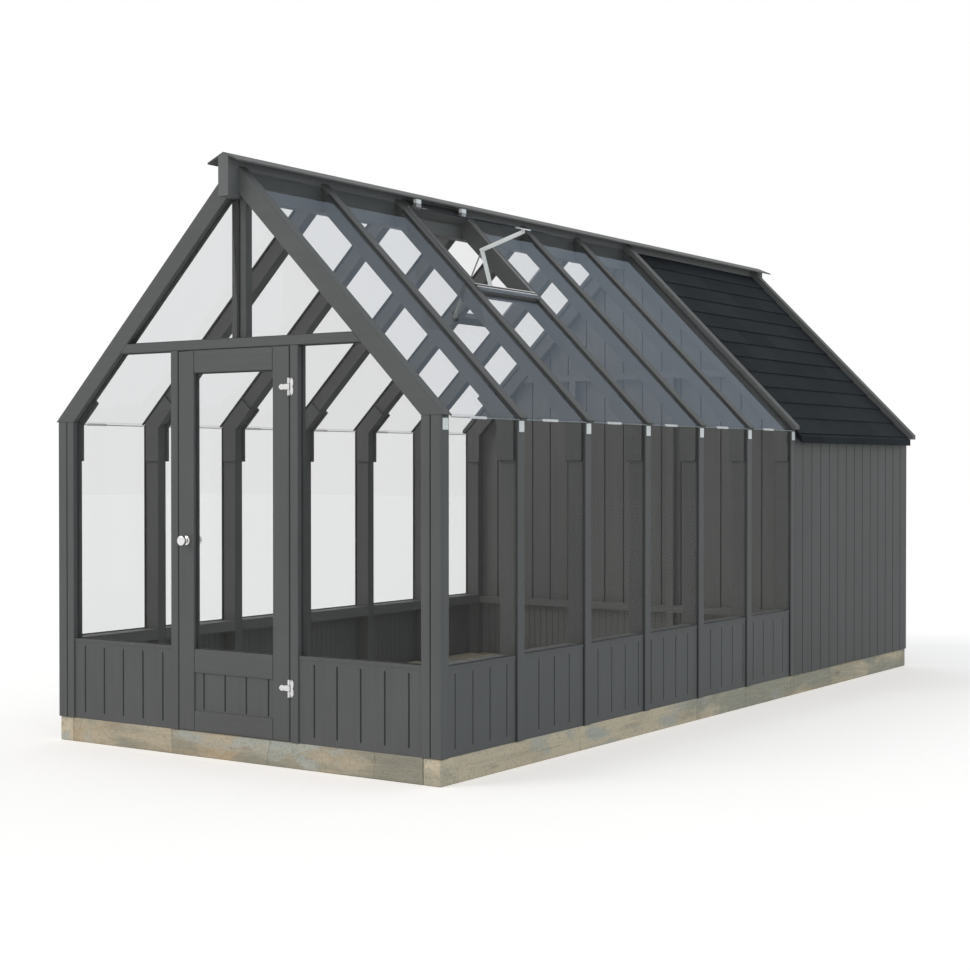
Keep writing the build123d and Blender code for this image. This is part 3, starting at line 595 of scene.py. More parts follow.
# Finishes of the frame's own pieces; the others are painted with an upright grain
FRAME_FINISHES = {
    "plinth_cross": ["plinth_cross_beams"],
    "plinth_long": ["plinth_greenhouse_beams", "plinth_shed_beams"],
    "paint_ridge": ["ridge_beam"],
    "paint_inner_long": ["inner_sills"],
    "paint_inner_cross": ["partition_rails"],
    "paint_long": ["ridge_cap", "vent_curbs"],
    "paint_cross": ["front_transom", "door_rails"],
    "paint_right_slope": ["right_rafters", "shed_verge_rafters"],
    "paint_left_slope": ["left_rafters"],
    "shingle": ["shed_right_roof", "shed_left_roof"],
    "wall_glass": ["front_side_glass", "gable_glass", "right_side_glass", "left_side_glass", "door_glass"],
    "roof_glass": ["right_roof_glass", "left_roof_glass", "vent_open_sash", "vent_shut_sash"],
    "steel": ["eave_brackets", "jamb_hinge_plates", "door_hinge_straps"],
    "aluminium": ["vent_opener_brackets"],
    "milky": ["eave_clips"],
    "white": ["vent_opener_arms"],
    "strip": ["vent_side_strips", "vent_hinges"],
    "cylinder": ["vent_opener_tube"],
    "chrome": ["door_knobs"],
}


def colour(name, description, default):
    return bpy.props.FloatVectorProperty(name=name, description=description, subtype="COLOR", size=3, default=default)


def length(name, description, default):
    return bpy.props.FloatProperty(name=name, description=description, default=default, unit="LENGTH")


class GreenhouseColours(bpy.types.PropertyGroup):
    """Colours that a user would change."""

    paint: colour("Paint", "Colour of the painted timber", (0.095, 0.0955, 0.0945))
    plinth_pale: colour("Plinth, pale", "Palest colour of the plinth", (0.51, 0.425, 0.31))
    plinth_dark: colour("Plinth, dark", "Darkest colour of the plinth", (0.25, 0.245, 0.20))
    shingle: colour("Shingle", "Colour of the shed's shingles", (0.0115, 0.0155, 0.019))
    glass_tint: colour("Glass tint", "Colour of light through one face of the glass", (0.952, 0.953, 0.954))
    # Painted reflections: the roof sheen tints the roof glass's reflection sky blue, and the wall sheen makes the
    # wall glass's reflection dim and slightly warm, as of ground and trees
    roof_sheen: colour("Roof sheen", "Colour of light thrown back by the roof glass", (0.37, 0.45, 0.55))
    wall_sheen: colour("Wall sheen", "Colour of light thrown back by the wall glass", (0.20, 0.205, 0.195))


class GreenhouseSizes(bpy.types.PropertyGroup):
    """Sizes that a user would change."""

    board: length("Board", "Width of one wall board", 0.1428)
    course: length("Shingle course", "Length of shingle left in view", 0.146)
    bead: length("Glazing bead", "Width of the dark strip beside each pane", 0.006)
    ease: length("Eased edge", "Cut on the edges of the timbers", 0.003)


def colours():
    return bpy.context.scene.greenhouse_colours


def sizes():
    return bpy.context.scene.greenhouse_sizes


class GREENHOUSE_OT_finishes(bpy.types.Operator):
    """Make every finish and put it on the pieces of the frame"""

    bl_idname = "greenhouse.finishes"
    bl_label = "Finishes"

    def execute(self, context):
        c = colours()
        for grain in GRAINS:
            FINISHES["paint_" + grain] = paint_finish(tuple(c.paint), grain)
        # Painted shade: the shed's boarding gets paint 0.86 times as light as the rest
        FINISHES["paint_shed"] = paint_finish(scaled(tuple(c.paint), 0.86), "upright", "shed_")
        # Painted light: the partition, its studs and rails and the inner sills get paint 1.25 times lighter than the
        # rest, standing in for more light inside
        inner = scaled(tuple(c.paint), 1.25)
        FINISHES["paint_inner"] = paint_finish(inner, "upright", "inner_")
        FINISHES["paint_inner_cross"] = paint_finish(inner, "cross", "inner_")
        FINISHES["paint_inner_long"] = paint_finish(inner, "long", "inner_")
        # Painted light: the ridge beam's paint is 1.4 times lighter, lifting its side that lies in shade under the
        # ridge cap
        FINISHES["paint_ridge"] = paint_finish(scaled(tuple(c.paint), 1.4), "long", "ridge_")
        # Painted light: the long sleepers along the sides get plinth colours 1.22 times lighter than the cross
        # sleepers at the ends
        for grain in ("long", "cross"):
            side_light_lift = 1.22 if grain == "long" else 1.0
            FINISHES["plinth_" + grain] = plinth_finish(
                scaled(tuple(c.plinth_pale), side_light_lift), scaled(tuple(c.plinth_dark), side_light_lift), grain
            )
        FINISHES["shingle"] = shingle_finish(tuple(c.shingle), sizes().course)
        # Two copies of one glass, differing only in their painted reflection colour
        FINISHES["roof_glass"] = glass_finish("roof_glass", tuple(c.glass_tint), tuple(c.roof_sheen))
        FINISHES["wall_glass"] = glass_finish("wall_glass", tuple(c.glass_tint), tuple(c.wall_sheen))
        for kind, made in ((metal_finish, METALS), (coated_finish, COATS), (milky_finish, MILKY)):
            FINISHES.update({key: kind(*values) for key, values in made.items()})
        shown = {name: finish for finish, names in FRAME_FINISHES.items() for name in names}
        for name, node in NODES.items():
            node.data.materials.clear()
            node.data.materials.append(FINISHES[shown.get(name, "paint_upright")])
        return {"FINISHED"}


def side_place(side):
    """Station runs along the building, depth runs in from the wall's outer face."""
    return lambda outer: (lambda u, d, v: np.stack([side * (outer - d), u, v], axis=-1))


def bay_span(index):
    return frame_y(index) + FRAME_T, frame_y(index + 1)


class GREENHOUSE_OT_plinth(bpy.types.Operator):
    """Squared sleepers under the walls"""

    bl_idname = "greenhouse.plinth"
    bl_label = "Plinth"

    def execute(self, context):
        ease = 0.005
        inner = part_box("plinth_cross_beams")[1].x
        for name in ("plinth_greenhouse_beams", "plinth_shed_beams"):
            low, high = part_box(name)
            part = bar(inner, high.x, low.y, high.y, low.z, high.z, ease)
            piece(name + "_sleepers", both_sides([part]), "plinth_long", stands_for=[name])
        low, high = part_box("plinth_cross_beams")
        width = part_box("plinth_greenhouse_beams")[1].x - inner
        starts = (low.y, Y_DIV - width, high.y - width)
        parts = [bar(-inner, inner, y, y + width, low.z, high.z, ease) for y in starts]
        piece("plinth_cross_sleepers", parts, "plinth_cross", stands_for=["plinth_cross_beams"])
        return {"FINISHED"}


class GREENHOUSE_OT_frames(bpy.types.Operator):
    """Posts and rafters of the greenhouse, with eased edges"""

    bl_idname = "greenhouse.frames"
    bl_label = "Frames"

    def execute(self, context):
        ease = sizes().ease
        posts = []
        for index in range(1, BAYS + 1):
            y = frame_y(index)
            posts.append(bar(POST_IN, HALF, y, y + FRAME_T, PLINTH_TOP, POST_TOP, ease))
        paint = "paint_upright"
        piece("right_wall_posts", posts, paint, stands_for=["right_posts"])
        piece("left_wall_posts", mirrored(posts), paint, stands_for=["left_posts"])
        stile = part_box("front_low_walls")[1].x
        y1 = Y_FRONT + FRAME_T
        corner = bar(HALF - 0.061, HALF, Y_FRONT, y1, PLINTH_TOP, POST_TOP, ease)
        inner = bar(stile, stile + 0.05, Y_FRONT, y1, PLINTH_TOP, POST_TOP, ease)
        piece("corner_posts", both_sides([corner, inner]), paint, stands_for=["front_posts"])
        for side, name in SIDES:
            parts = []
            for index in range(BAYS):
                y = frame_y(index)
                parts.append(slope_timber(
                    y, y + FRAME_T, RAFTER, side, lambda out: BEAM_HALF * ROOT2 - out,
                    lambda out: (APEX - POST_TOP) * ROOT2 + out, ease,
                ))
            piece(f"{name}_slope_rafters", parts, f"paint_{name}_slope", stands_for=[f"{name}_rafters"])
        return {"FINISHED"}


class GREENHOUSE_OT_front(bpy.types.Operator):
    """Transom, mullion and door jambs of the front gable, and the strips round its panes"""

    bl_idname = "greenhouse.front"
    bl_label = "Front gable"

    def execute(self, context):
        ease = sizes().ease
        low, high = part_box("front_transom")
        corners = chamfered(high.y - low.y, high.z - low.z, ease)
        ys, zs = (low.y + high.y) / 2 + corners[:, 0], (low.z + high.z) / 2 + corners[:, 1]
        ends = APEX - RAFTER * ROOT2 - zs
        transom = swept(np.stack([np.stack([way * ends, ys, zs], axis=1) for way in (-1, 1)]))
        piece("gable_transom", [transom], "paint_cross", stands_for=["front_transom"])
        low_m, high_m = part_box("gable_mullion")
        mullion = bar(low_m.x, high_m.x, low_m.y, high_m.y, low_m.z, high_m.z, ease)
        piece("gable_post", [mullion], "paint_upright", stands_for=["gable_mullion"])
        low_j, high_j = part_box("door_jambs")
        piece("front_door_jambs", uprights(low_j, high_j, 0.05, ease), "paint_upright", stands_for=["door_jambs"])
        bead = sizes().bead
        rise = 0.005
        y0, y1 = FRONT_GLASS - rise, FRONT_GLASS
        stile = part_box("front_low_walls")[1].x
        rings = []
        top = APEX - RAFTER * ROOT2
        for corner, edge in ((-stile, low_j.x), (stile, high_j.x)):
            way = np.sign(corner)
            outline = [(corner, LOW_TOP), (edge, LOW_TOP), (edge, low.z), (way * (top - low.z), low.z),
                       (corner, top - abs(corner))]
            rings.append(bead_ring(outline, bead, y0, y1))
        gable = [(0.0015, high.z), (top - high.z, high.z), (top - BEAM_LOW, BEAM_LOW), (0.0015, BEAM_LOW)]
        rings += both_sides([bead_ring(gable, bead, y0, y1)])
        piece("front_pane_strips", rings, "rubber")
        return {"FINISHED"}


class GREENHOUSE_OT_glazing(bpy.types.Operator):
    """Dark strips beside the panes of the walls and roof, partly glazing seals and partly painted shade in the gaps
    before the posts and rafters, and the bright lower edges of the roof glass
    """

    bl_idname = "greenhouse.glazing"
    bl_label = "Glazing strips"

    def execute(self, context):
        bead = sizes().bead
        flush = cut = 0.001
        clip_half, clip_shift = 0.070, 0.065
        eave, foot = POST_TOP - 0.004, ROOF_END - 0.004
        wall, roof, edges, clips = [], {1: [], -1: []}, [], []
        for index in range(BAYS):
            y0, y1 = bay_span(index)
            # Dark strip before each post's forward face, plinth to eave: painted shade of the shadow gap beside the
            # low-wall boards, and a glazing seal beside the glass
            wall.append(bar(LOW_OUT - flush, HALF - flush, y1 - bead, y1, PLINTH_TOP, eave, cut))
            wall.append(bar(SIDE_GLASS, SIDE_GLASS + 0.004, y0, y0 + bead, LOW_TOP, eave, cut))
            wall.append(bar(SIDE_GLASS, SIDE_GLASS + 0.003, y0 + bead, y1 - bead, LOW_TOP, LOW_TOP + bead, cut))
            for side, vent in VENTS:
                start = SILL_END if index == vent else ROOF_START
                # Dark strip beside each rafter's forward face: a glazing seal, and painted shade of the rafter's
                # shaded side above the glass
                roof[side].append(slope_strip(start, foot, -ROOF_GLASS, -flush, y1 - bead, y1, side))
                roof[side].append(slope_strip(start, foot, -ROOF_GLASS, -0.006, y0, y0 + bead, side))
                edges.append(slope_strip(ROOF_END - 0.0002, ROOF_END + 0.0012, -ROOF_GLASS - GLASS, -ROOF_GLASS,
                                         y0 + 0.002, y1 - 0.002, side))
                middle = (y0 + y1) / 2 - clip_shift
                clips.append(slope_strip(ROOF_END - 0.007, ROOF_END + 0.003, -ROOF_GLASS - GLASS - 0.002,
                                         -ROOF_GLASS + 0.0015, middle - clip_half, middle + clip_half, side))
        piece("eave_pane_clips", clips, "milky", stands_for=["eave_clips"])
        piece("wall_pane_strips", both_sides(wall), "rubber")
        piece("roof_pane_strips", roof[1] + roof[-1], "rubber")
        piece("roof_pane_edges", edges, "glass_edge")
        return {"FINISHED"}


class GREENHOUSE_OT_low_walls(bpy.types.Operator):
    """Low boarded walls under the glass, with routed board joints outside and narrow boards inside"""

    bl_idname = "greenhouse.low_walls"
    bl_label = "Low walls"

    def execute(self, context):
        groove_low, groove_high = PLINTH_TOP + 0.033, LOW_TOP - 0.036
        levels = np.array([PLINTH_TOP, groove_low, groove_low + 0.006, groove_high - 0.006, groove_high,
                           LOW_TOP - 0.016, LOW_TOP - 0.0155, LOW_TOP - 0.003, LOW_TOP])
        window = np.array([0, 0, 1, 1, 0, 0, 0, 0, 0.0])
        lip = np.array([0, 0, 0, 0, 0, 0, -0.0025, -0.0025, 0.001])
        thick = LOW_OUT - LOW_IN

        def wall(u0, u1, grooves, place):
            inner = np.arange(u0 + INNER_BOARD, u1, INNER_BOARD)
            places, outer = groove_stations(u0, u1, grooves)
            places_in, inner = groove_stations(u0, u1, inner, FINE_HALF)
            stations = np.unique(np.concatenate([places, places_in]).round(5))

            def front(u, v):
                row = np.interp(v, levels, window)
                return groove_depth(u, outer) * row + np.interp(v, levels, lip)

            def back(u, v):
                return thick - groove_depth(u, inner, FINE_HALF, 0.003) * np.interp(v, levels, window)

            return grooved(stations, levels, front, back, place)

        board = sizes().board
        grooves = Y_FRONT + 0.1216 + board * np.arange(28)
        for side, name in SIDES:
            parts = []
            for index in range(BAYS):
                y0, y1 = bay_span(index)
                parts.append(wall(y0, y1, grooves, side_place(side)(LOW_OUT)))
            piece(f"{name}_low_wall_boards", parts, "paint_upright", stands_for=[f"{name}_low_walls"])
        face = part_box("front_low_walls")[0].y
        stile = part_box("front_low_walls")[1].x
        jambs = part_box("door_jambs")

        def across(u, d, v):
            return np.stack([u, face + d, v], axis=-1)

        left = np.array([-1.055, -0.914, -0.775, -0.634, -0.494])
        right = np.array([0.499, 0.637, 0.778, 0.919, 1.057])
        parts = [wall(-stile, jambs[0].x, left, across), wall(jambs[1].x, stile, right, across)]
        piece("front_low_wall_boards", parts, "paint_upright", stands_for=["front_low_walls"])
        return {"FINISHED"}


class GREENHOUSE_OT_door(bpy.types.Operator):
    """Front door: stiles, rails, boarded panel, strips round its pane, hinges and knobs"""

    bl_idname = "greenhouse.door"
    bl_label = "Front door"

    def execute(self, context):
        ease = sizes().ease
        low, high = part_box("door_stiles")
        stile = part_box("door_panel")[0].x - low.x
        stiles = uprights(low, high, stile, ease)
        piece("door_leaf_stiles", stiles, "paint_upright", body=DOOR, stands_for=["door_stiles"])
        panel_low, panel_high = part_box("door_panel")
        glass_low, glass_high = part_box("door_glass")
        spans = ((low.z, panel_low.z), (panel_high.z, glass_low.z), (glass_high.z, high.z))
        seam = 0.0006
        rails = [bar(low.x + stile + seam, high.x - stile - seam, low.y, high.y, z0, z1, ease) for z0, z1 in spans]
        piece("door_leaf_rails", rails, "paint_cross", body=DOOR, stands_for=["door_rails"])
        grooves = np.array([-0.210, -0.069, 0.070, 0.213])
        stations, grooves = groove_stations(panel_low.x, panel_high.x, grooves)
        levels = np.array([panel_low.z, panel_low.z + 0.006, panel_low.z + 0.012, panel_high.z])
        window = np.array([0, 0, 1, 1.0])
        thick = panel_high.y - panel_low.y
        boards = grooved(
            stations, levels, lambda u, v: groove_depth(u, grooves) * np.interp(v, levels, window),
            lambda u, v: np.full(u.shape, thick), lambda u, d, v: np.stack([u, panel_low.y + d, v], axis=-1),
        )
        piece("door_panel_boards", [boards], "paint_upright", body=DOOR, stands_for=["door_panel"])
        outline = [(glass_low.x, glass_low.z), (glass_high.x, glass_low.z), (glass_high.x, glass_high.z),
                   (glass_low.x, glass_high.z)]
        rings = [bead_ring(outline, sizes().bead, glass_low.y - 0.005, glass_low.y)]
        piece("door_pane_strips", rings, "rubber", body=DOOR)

        plate_low, plate_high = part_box("jamb_hinge_plates")
        strap_low, strap_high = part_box("door_hinge_straps")
        barrel, reach = 0.006, 0.043
        hinge_x, hinge_y = strap_high.x - barrel, Y_FRONT - barrel
        face = Y_FRONT - METAL
        heights = (plate_low.z + reach, plate_high.z - reach)
        plates, straps, heads_jamb, heads_door = [], [], [], []
        for z in heights:
            x0, x1 = hinge_x + 0.007, plate_high.x
            middle = (x0 + x1) / 2
            outline = [(x0, z - 0.030), (middle, z - reach), (x1, z - 0.030), (x1, z - 0.012), (x1 - 0.004, z),
                       (x1, z + 0.012), (x1, z + 0.030), (middle, z + reach), (x0, z + 0.030)]
            plates.append(cutout(outline, face, Y_FRONT))
            for way in (-1, 1):
                centre = z + way * 0.029
                plates.append(bar(hinge_x, x0 + 0.001, face, Y_FRONT, centre - 0.013, centre + 0.013, 0.0005))
                plates.append(turned([(0.0045, -0.0138), (barrel, -0.0125), (barrel, 0.0125), (0.0045, 0.0138)],
                                     (hinge_x, hinge_y, centre), (0, 0, 1), 28))
                heads_jamb.append(screw((middle, face, z + way * 0.026), (0, -1, 0)))
            heads_jamb.append(screw((middle - 0.001, face, z), (0, -1, 0)))
            s0, s1 = strap_low.x, hinge_x
            half = [(s0, 0.0035), (s0 + 0.010, 0.0135), (s0 + 0.026, 0.0135), (s0 + 0.030, 0.009),
                    (s0 + 0.034, 0.0135), (s1, 0.0135)]
            outline = [(x, z - up) for x, up in half] + [(x, z + up) for x, up in reversed(half)]
            straps.append(cutout(outline, face, Y_FRONT))
            straps.append(turned([(0.0045, -0.014), (barrel, -0.0128), (barrel, 0.0128), (0.0045, 0.014)],
                                 (hinge_x, hinge_y, z), (0, 0, 1), 28))
            for x in (s0 + 0.009, s0 + 0.020, s0 + 0.042):
                heads_door.append(screw((x, face, z), (0, -1, 0)))
        piece("jamb_hinge_leaves", plates, "steel", stands_for=["jamb_hinge_plates"])
        piece("door_hinge_leaves", straps, "steel", DOOR, ["door_hinge_straps"])
        piece("jamb_hinge_screws", heads_jamb, "chrome")
        piece("door_hinge_screws", heads_door, "chrome", DOOR)

        knob_low, knob_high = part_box("door_knobs")
        centre_x, centre_z = (knob_low.x + knob_high.x) / 2, (knob_low.z + knob_high.z) / 2
        profile = [(0.023, 0), (0.024, 0.0015), (0.0225, 0.004), (0.0125, 0.005), (0.0095, 0.007), (0.009, 0.013),
                   (0.012, 0.0165), (0.0205, 0.020), (0.0242, 0.0228), (0.025, 0.026), (0.025, 0.0375),
                   (0.0243, 0.0402), (0.0222, 0.0417), (0.0185, 0.0424), (0.009, 0.0429), (0.001, 0.043)]
        knobs = [turned(profile, (centre_x, Y_FRONT, centre_z), (0, -1, 0), 56),
                 turned(profile, (centre_x, high.y, centre_z), (0, 1, 0), 56)]
        piece("turned_door_knobs", knobs, "chrome", DOOR, ["door_knobs"], smooth=True)
        return {"FINISHED"}


class GREENHOUSE_OT_partition(bpy.types.Operator):
    """Boarded partition behind the last frame, with narrow boards below its rail and wide ones above, and its studs
    """

    bl_idname = "greenhouse.partition"
    bl_label = "Partition"

    def execute(self, context):
        ease = sizes().ease
        low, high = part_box("partition_wall")
        rail_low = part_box("partition_rails")[0].z
        wide = np.arange(-1.16, 1.2, 0.145)
        fine = np.arange(low.x + INNER_BOARD, high.x, INNER_BOARD)
        boards = gable_boards(low.x, high.x, low.z, under_roof(DECK_SINK), low.y, -1, high.y - low.y,
                              wide, rail_low, fine, sunk=0.014)
        piece("partition_boards", [boards], "paint_inner", stands_for=["partition_wall"])
        stud_low, stud_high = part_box("partition_studs")
        width = 0.05
        stud = bar(stud_high.x - width, stud_high.x, stud_low.y, stud_high.y, stud_low.z, stud_high.z, ease)
        piece("partition_uprights", both_sides([stud]), "paint_inner", stands_for=["partition_studs"])
        return {"FINISHED"}


class GREENHOUSE_OT_shed_walls(bpy.types.Operator):
    """Upright boards of the shed's walls, and its rear doorway"""

    bl_idname = "greenhouse.shed_walls"
    bl_label = "Shed walls"

    def execute(self, context):
        board = sizes().board
        for side, name in SIDES:
            low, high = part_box(f"shed_{name}_wall")
            grooves = np.arange(low.y + 0.118, high.y, board)
            stations, grooves = groove_stations(low.y, high.y, grooves)
            levels = np.array([low.z, high.z])
            thick = high.x - low.x
            part = grooved(stations, levels, lambda u, v: groove_depth(u, grooves), lambda u, v: thick + 0 * u,
                           side_place(side)(HALF))
            piece(f"shed_{name}_wall_boards", [part], "paint_shed", stands_for=[f"shed_{name}_wall"])
        low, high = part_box("shed_rear_wall")
        door_low, door_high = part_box("shed_door")
        thick = high.y - low.y
        grooves = np.arange(-board * 8, board * 8.5, board)
        top = under_roof(DECK_SINK)
        sides = gable_boards(door_high.x, high.x, low.z, top, high.y, 1, thick, grooves)
        over = gable_boards(door_low.x, door_high.x, door_high.z, top, high.y, 1, thick, grooves)
        piece("shed_rear_boards", both_sides([sides]) + [over], "paint_shed", stands_for=["shed_rear_wall"])
        gap = 0.002
        leaf = gable_boards(door_low.x + gap, door_high.x - gap, door_low.z + gap,
                            lambda u: np.full(u.shape, door_high.z - gap),
                            high.y, 1, thick, np.arange(-board * 2, board * 2.5, board))
        piece("shed_door_boards", [leaf], "paint_shed", stands_for=["shed_door"])
        trim_low, trim_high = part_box("shed_door_trim")
        ease = sizes().ease
        jamb = bar(door_high.x, trim_high.x, trim_low.y, trim_high.y, trim_low.z, door_high.z, ease)
        head = bar(trim_low.x, trim_high.x, trim_low.y, trim_high.y, door_high.z, trim_high.z, ease)
        piece("shed_door_covers", both_sides([jamb]) + [head], "paint_shed", stands_for=["shed_door_trim"])
        return {"FINISHED"}


class GREENHOUSE_OT_shingles(bpy.types.Operator):
    """Courses of shingle on the shed's two slopes"""

    bl_idname = "greenhouse.shingles"
    bl_label = "Shingles"

    def execute(self, context):
        course = sizes().course
        low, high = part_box("shed_right_roof")
        y0, y1 = low.y, high.y
        top_out, deck = -SHINGLE_SINK, 0.030
        start = BEAM_HALF * ROOT2 + abs(top_out)
        end = high.x * ROOT2 + abs(top_out)
        butts = np.arange(FIRST_COURSE - course, end, course)
        butts = butts[butts > start + 0.01]
        thick = 0.006
        downs = np.concatenate([[start]] + [[b - 0.0015, b] for b in butts] + [[end]])
        outs = np.full(len(downs), top_out)
        outs[2:-1:2] = top_out - thick
        outs[0] = top_out - thick * 0.8
        for side, name in SIDES:
            profile_down = np.concatenate([downs, [end, start]])
            profile_out = np.concatenate([outs, [top_out - deck, top_out - deck]])
            profile_down[-2] = high.x * ROOT2 + abs(top_out - deck)
            profile_down[-1] = BEAM_HALF * ROOT2 + abs(top_out - deck)
            ys = np.array([y0, y1])
            sections = slope_point(profile_down[None, :], profile_out[None, :], ys[:, None], side)
            piece(f"shed_{name}_shingles", [swept(sections)], "shingle",
                  stands_for=[f"shed_{name}_roof"])
        return {"FINISHED"}


class GREENHOUSE_OT_fittings(bpy.types.Operator):
    """Eave plates, screws of the knee plates and dark strips of painted shadow under them, and the sills, seals and
    hinge caps of the roof vents
    """

    bl_idname = "greenhouse.fittings"
    bl_label = "Fittings"

    def execute(self, context):
        low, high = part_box("eave_brackets")
        face, under = HALF + METAL, POST_TOP - METAL
        wide, tall, hook = 0.044, 0.054, 0.010
        plates, hooks, heads = [], [], []
        for index in range(BAYS + 1):
            y = frame_y(index) + 0.009
            middle, top = y + wide / 2, low.z + tall
            plates.append(bar(HALF, face, y, y + wide, low.z, top, 0.001))
            hooks.append(bar(HALF, face, middle - hook, middle + hook, top, under, 0.0008))
            hooks.append(bar(HALF, high.x, middle - hook, middle + hook, under, POST_TOP, 0.0008))
            for dy, dz in ((-0.010, 0.012), (0.010, 0.012), (0, 0.040)):
                heads.append(screw((face, middle + dy, low.z + dz), (1, 0, 0), 0.0035))
        piece("eave_plates", both_sides(plates), "zinc", stands_for=["eave_brackets"])
        piece("eave_hooks", both_sides(hooks), "tube")
        piece("eave_plate_screws", both_sides(heads), "steel")
        knee_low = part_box("knee_plates")[0].z
        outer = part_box("knee_plates")[1].x
        plate = 0.012
        heads, rims = [], []
        for index in range(BAYS):
            behind, ahead = bay_span(index)
            for x, z in ((POST_IN + 0.03, knee_low + 0.03), (POST_IN + 0.03, knee_low + 0.12),
                         (POST_IN - 0.005, knee_low + 0.205), (POST_IN - 0.075, knee_low + 0.275)):
                heads.append(screw((x, behind + plate, z), (0, 1, 0), 0.0045))
                heads.append(screw((x, ahead - plate, z), (0, -1, 0), 0.0045))
            # Dark strip under the lower edge of each knee plate: painted shadow
            for y in (behind + plate / 2, ahead - plate / 2):
                rims.append(bar(POST_IN - 0.010, outer - 0.002, y - 0.0062, y + 0.0062,
                                knee_low - 0.0035, knee_low + 0.0005, 0.0004))
        piece("knee_plate_screws", both_sides(heads), "paint_upright")
        piece("knee_plate_rims", both_sides(rims), "rubber")
        seals, laps, rims, caps = [], [], [], []
        rest = 0.010
        x, _, z = slope_point(HINGE_DOWN, HINGE_OUT, 0.0)
        for side, vent in VENTS:
            y0, y1 = bay_span(vent)
            seals.append(slope_strip(SILL_START + 0.0055, SILL_START + 0.020, 0.006, 0.0085,
                                     y0 - 0.010, y1 + 0.010, side))
            for y in (y0 - 0.0115, y1 + 0.0025):
                seals.append(slope_strip(HINGE_DOWN + 0.006, SILL_START - 0.003, rest - 0.0005, rest + 0.0005,
                                         y, y + 0.009, side))
            laps.append(slope_strip(SILL_START + 0.026, SILL_END - 0.001, 0.0062, 0.0102,
                                    y0 + 0.002, y1 - 0.002, side))
            for start in (SILL_START + 0.0002, SILL_START + 0.0205):
                rims.append(slope_strip(start, start + 0.0045, 0.0060, 0.0098, y0 - 0.012, y1 + 0.012, side))
            for way in (-1, 1):
                y = (y0 + y1) / 2 + way * HINGE_SPREAD
                cap = bar(x - 0.0106, x + 0.0106, y - 0.0236, y + 0.0236, z + 0.022, z + 0.0468, 0.002)
                caps += [cap] if side > 0 else mirrored([cap])
        piece("vent_seals", seals, "rubber")
        piece("vent_hinge_caps", caps, "white")
        piece("vent_sill_panes", laps, "roof_glass")
        piece("vent_sill_rims", rims, "aluminium")
        return {"FINISHED"}


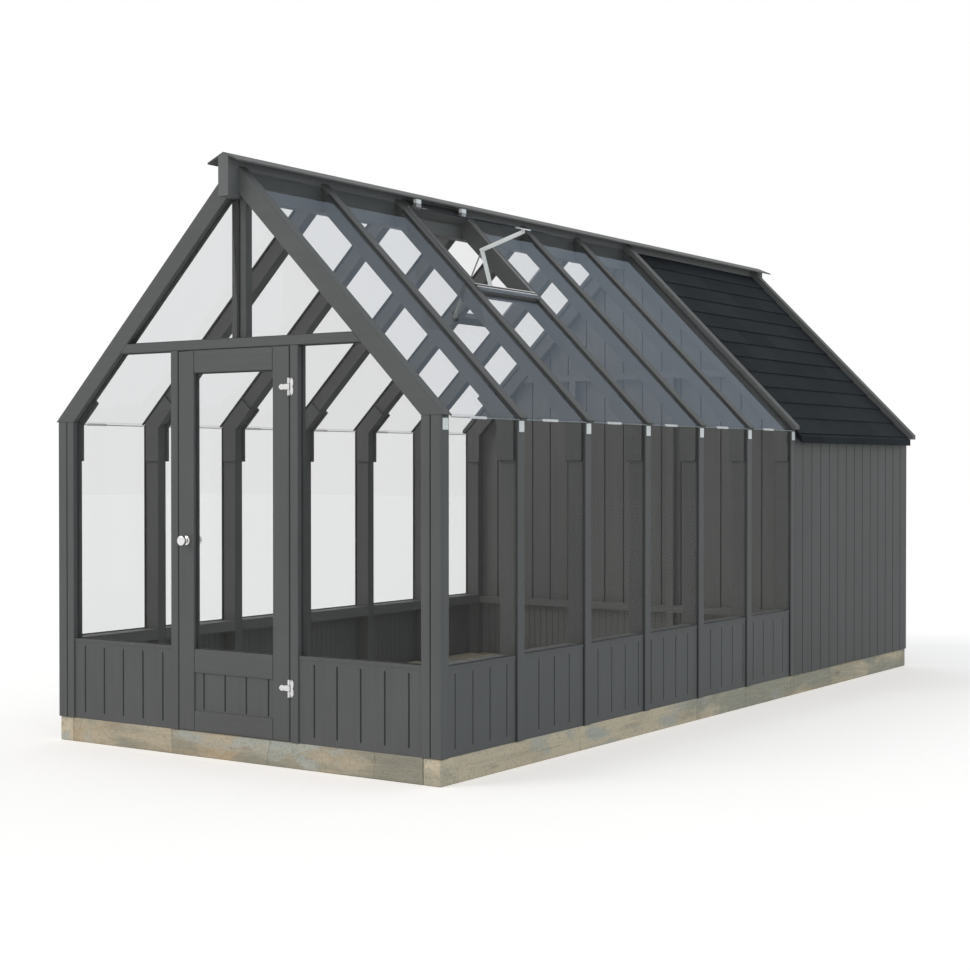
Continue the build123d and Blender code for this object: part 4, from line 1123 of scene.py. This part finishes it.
class GREENHOUSE_OT_stage(bpy.types.Operator):
    """Floor, soft light and the camera"""

    bl_idname = "greenhouse.stage"
    bl_label = "Stage"

    def execute(self, context):
        scene = context.scene
        mesh = bpy.data.meshes.new("floor")
        reach = 60.0
        corners = np.array([(-reach, -reach, 0), (reach, -reach, 0), (reach, reach, 0), (-reach, reach, 0)])
        mesh.from_pydata(corners.tolist(), [], [[0, 1, 2, 3]])
        floor = bpy.data.objects.new("floor", mesh)
        scene.collection.objects.link(floor)
        f = Finish("floor_white")
        seen = f.rays("Camera", "Glossy")
        matt = f.node("ShaderNodeBsdfDiffuse", {}, {"Color": rgba((0.82, 0.82, 0.82))}, out="BSDF")
        glow = f.node("ShaderNodeEmission", {}, {"Color": rgba((1.0, 0.88, 0.82)), "Strength": 0.33}, out="Emission")
        lit = f.node("ShaderNodeAddShader", {}, {0: matt, 1: glow})
        mesh.materials.append(f.close(f.mix(seen, matt, lit)))

        scene.world = bpy.data.worlds.new("studio")
        f = Finish("studio", scene.world)
        seen = f.rays("Camera", "Glossy", "Transmission")
        soft = f.node("ShaderNodeBackground", {}, {"Color": rgba((0.88, 0.985, 1.035)), "Strength": 0.74})
        white = f.node("ShaderNodeBackground", {}, {"Color": rgba((1, 1, 1)), "Strength": 1.0})
        f.close(f.mix(seen, soft, white))

        for name, energy, shadow in (("soft_sun", 0.62, True), ("soft_fill", 0.45, False)):
            lamp = bpy.data.lights.new(name, "SUN")
            lamp.energy = energy
            lamp.use_shadow = shadow
            lamp.angle = math.radians(24)
            lamp.color = (1.0, 0.90, 0.80)
            sun = bpy.data.objects.new(name, lamp)
            sun.rotation_euler = (math.radians(53), 0, math.radians(-39))
            scene.collection.objects.link(sun)

        lens = bpy.data.cameras.new("photo_camera")
        lens.sensor_width = 36.0
        lens.sensor_fit = "HORIZONTAL"
        lens.lens = 64.46
        lens.clip_end = 200.0
        camera = bpy.data.objects.new("photo_camera", lens)
        camera.location = (5.7842, -9.2969, 1.4485)
        camera.rotation_euler = (math.radians(90 - 0.613), 0, math.radians(34.094))
        scene.collection.objects.link(camera)
        scene.camera = camera
        scene.view_settings.view_transform = "Standard"
        return {"FINISHED"}


OPERATORS = (
    GREENHOUSE_OT_finishes,
    GREENHOUSE_OT_plinth,
    GREENHOUSE_OT_frames,
    GREENHOUSE_OT_front,
    GREENHOUSE_OT_glazing,
    GREENHOUSE_OT_low_walls,
    GREENHOUSE_OT_door,
    GREENHOUSE_OT_partition,
    GREENHOUSE_OT_shed_walls,
    GREENHOUSE_OT_shingles,
    GREENHOUSE_OT_fittings,
    GREENHOUSE_OT_stage,
)


class GREENHOUSE_PT_panel(bpy.types.Panel):
    """Sidebar list of the pieces"""

    bl_label = "Greenhouse"
    bl_idname = "GREENHOUSE_PT_panel"
    bl_space_type = "VIEW_3D"
    bl_region_type = "UI"
    bl_category = "Greenhouse"

    def draw(self, context):
        layout = self.layout
        for name in ("paint", "plinth_pale", "plinth_dark", "shingle", "glass_tint", "roof_sheen", "wall_sheen"):
            layout.prop(context.scene.greenhouse_colours, name)
        for name in ("board", "course", "bead", "ease"):
            layout.prop(context.scene.greenhouse_sizes, name)
        for operator in OPERATORS:
            layout.operator(operator.bl_idname)


CLASSES = (GreenhouseColours, GreenhouseSizes) + OPERATORS + (GREENHOUSE_PT_panel,)


def register():
    for cls in CLASSES:
        bpy.utils.register_class(cls)
    bpy.types.Scene.greenhouse_colours = bpy.props.PointerProperty(type=GreenhouseColours)
    bpy.types.Scene.greenhouse_sizes = bpy.props.PointerProperty(type=GreenhouseSizes)


def unregister():
    del bpy.types.Scene.greenhouse_sizes
    del bpy.types.Scene.greenhouse_colours
    for cls in reversed(CLASSES):
        bpy.utils.unregister_class(cls)


def main():
    register()
    for operator in OPERATORS:
        group, name = operator.bl_idname.split(".")
        getattr(getattr(bpy.ops, group), name)()


if __name__ == "__main__":
    main()
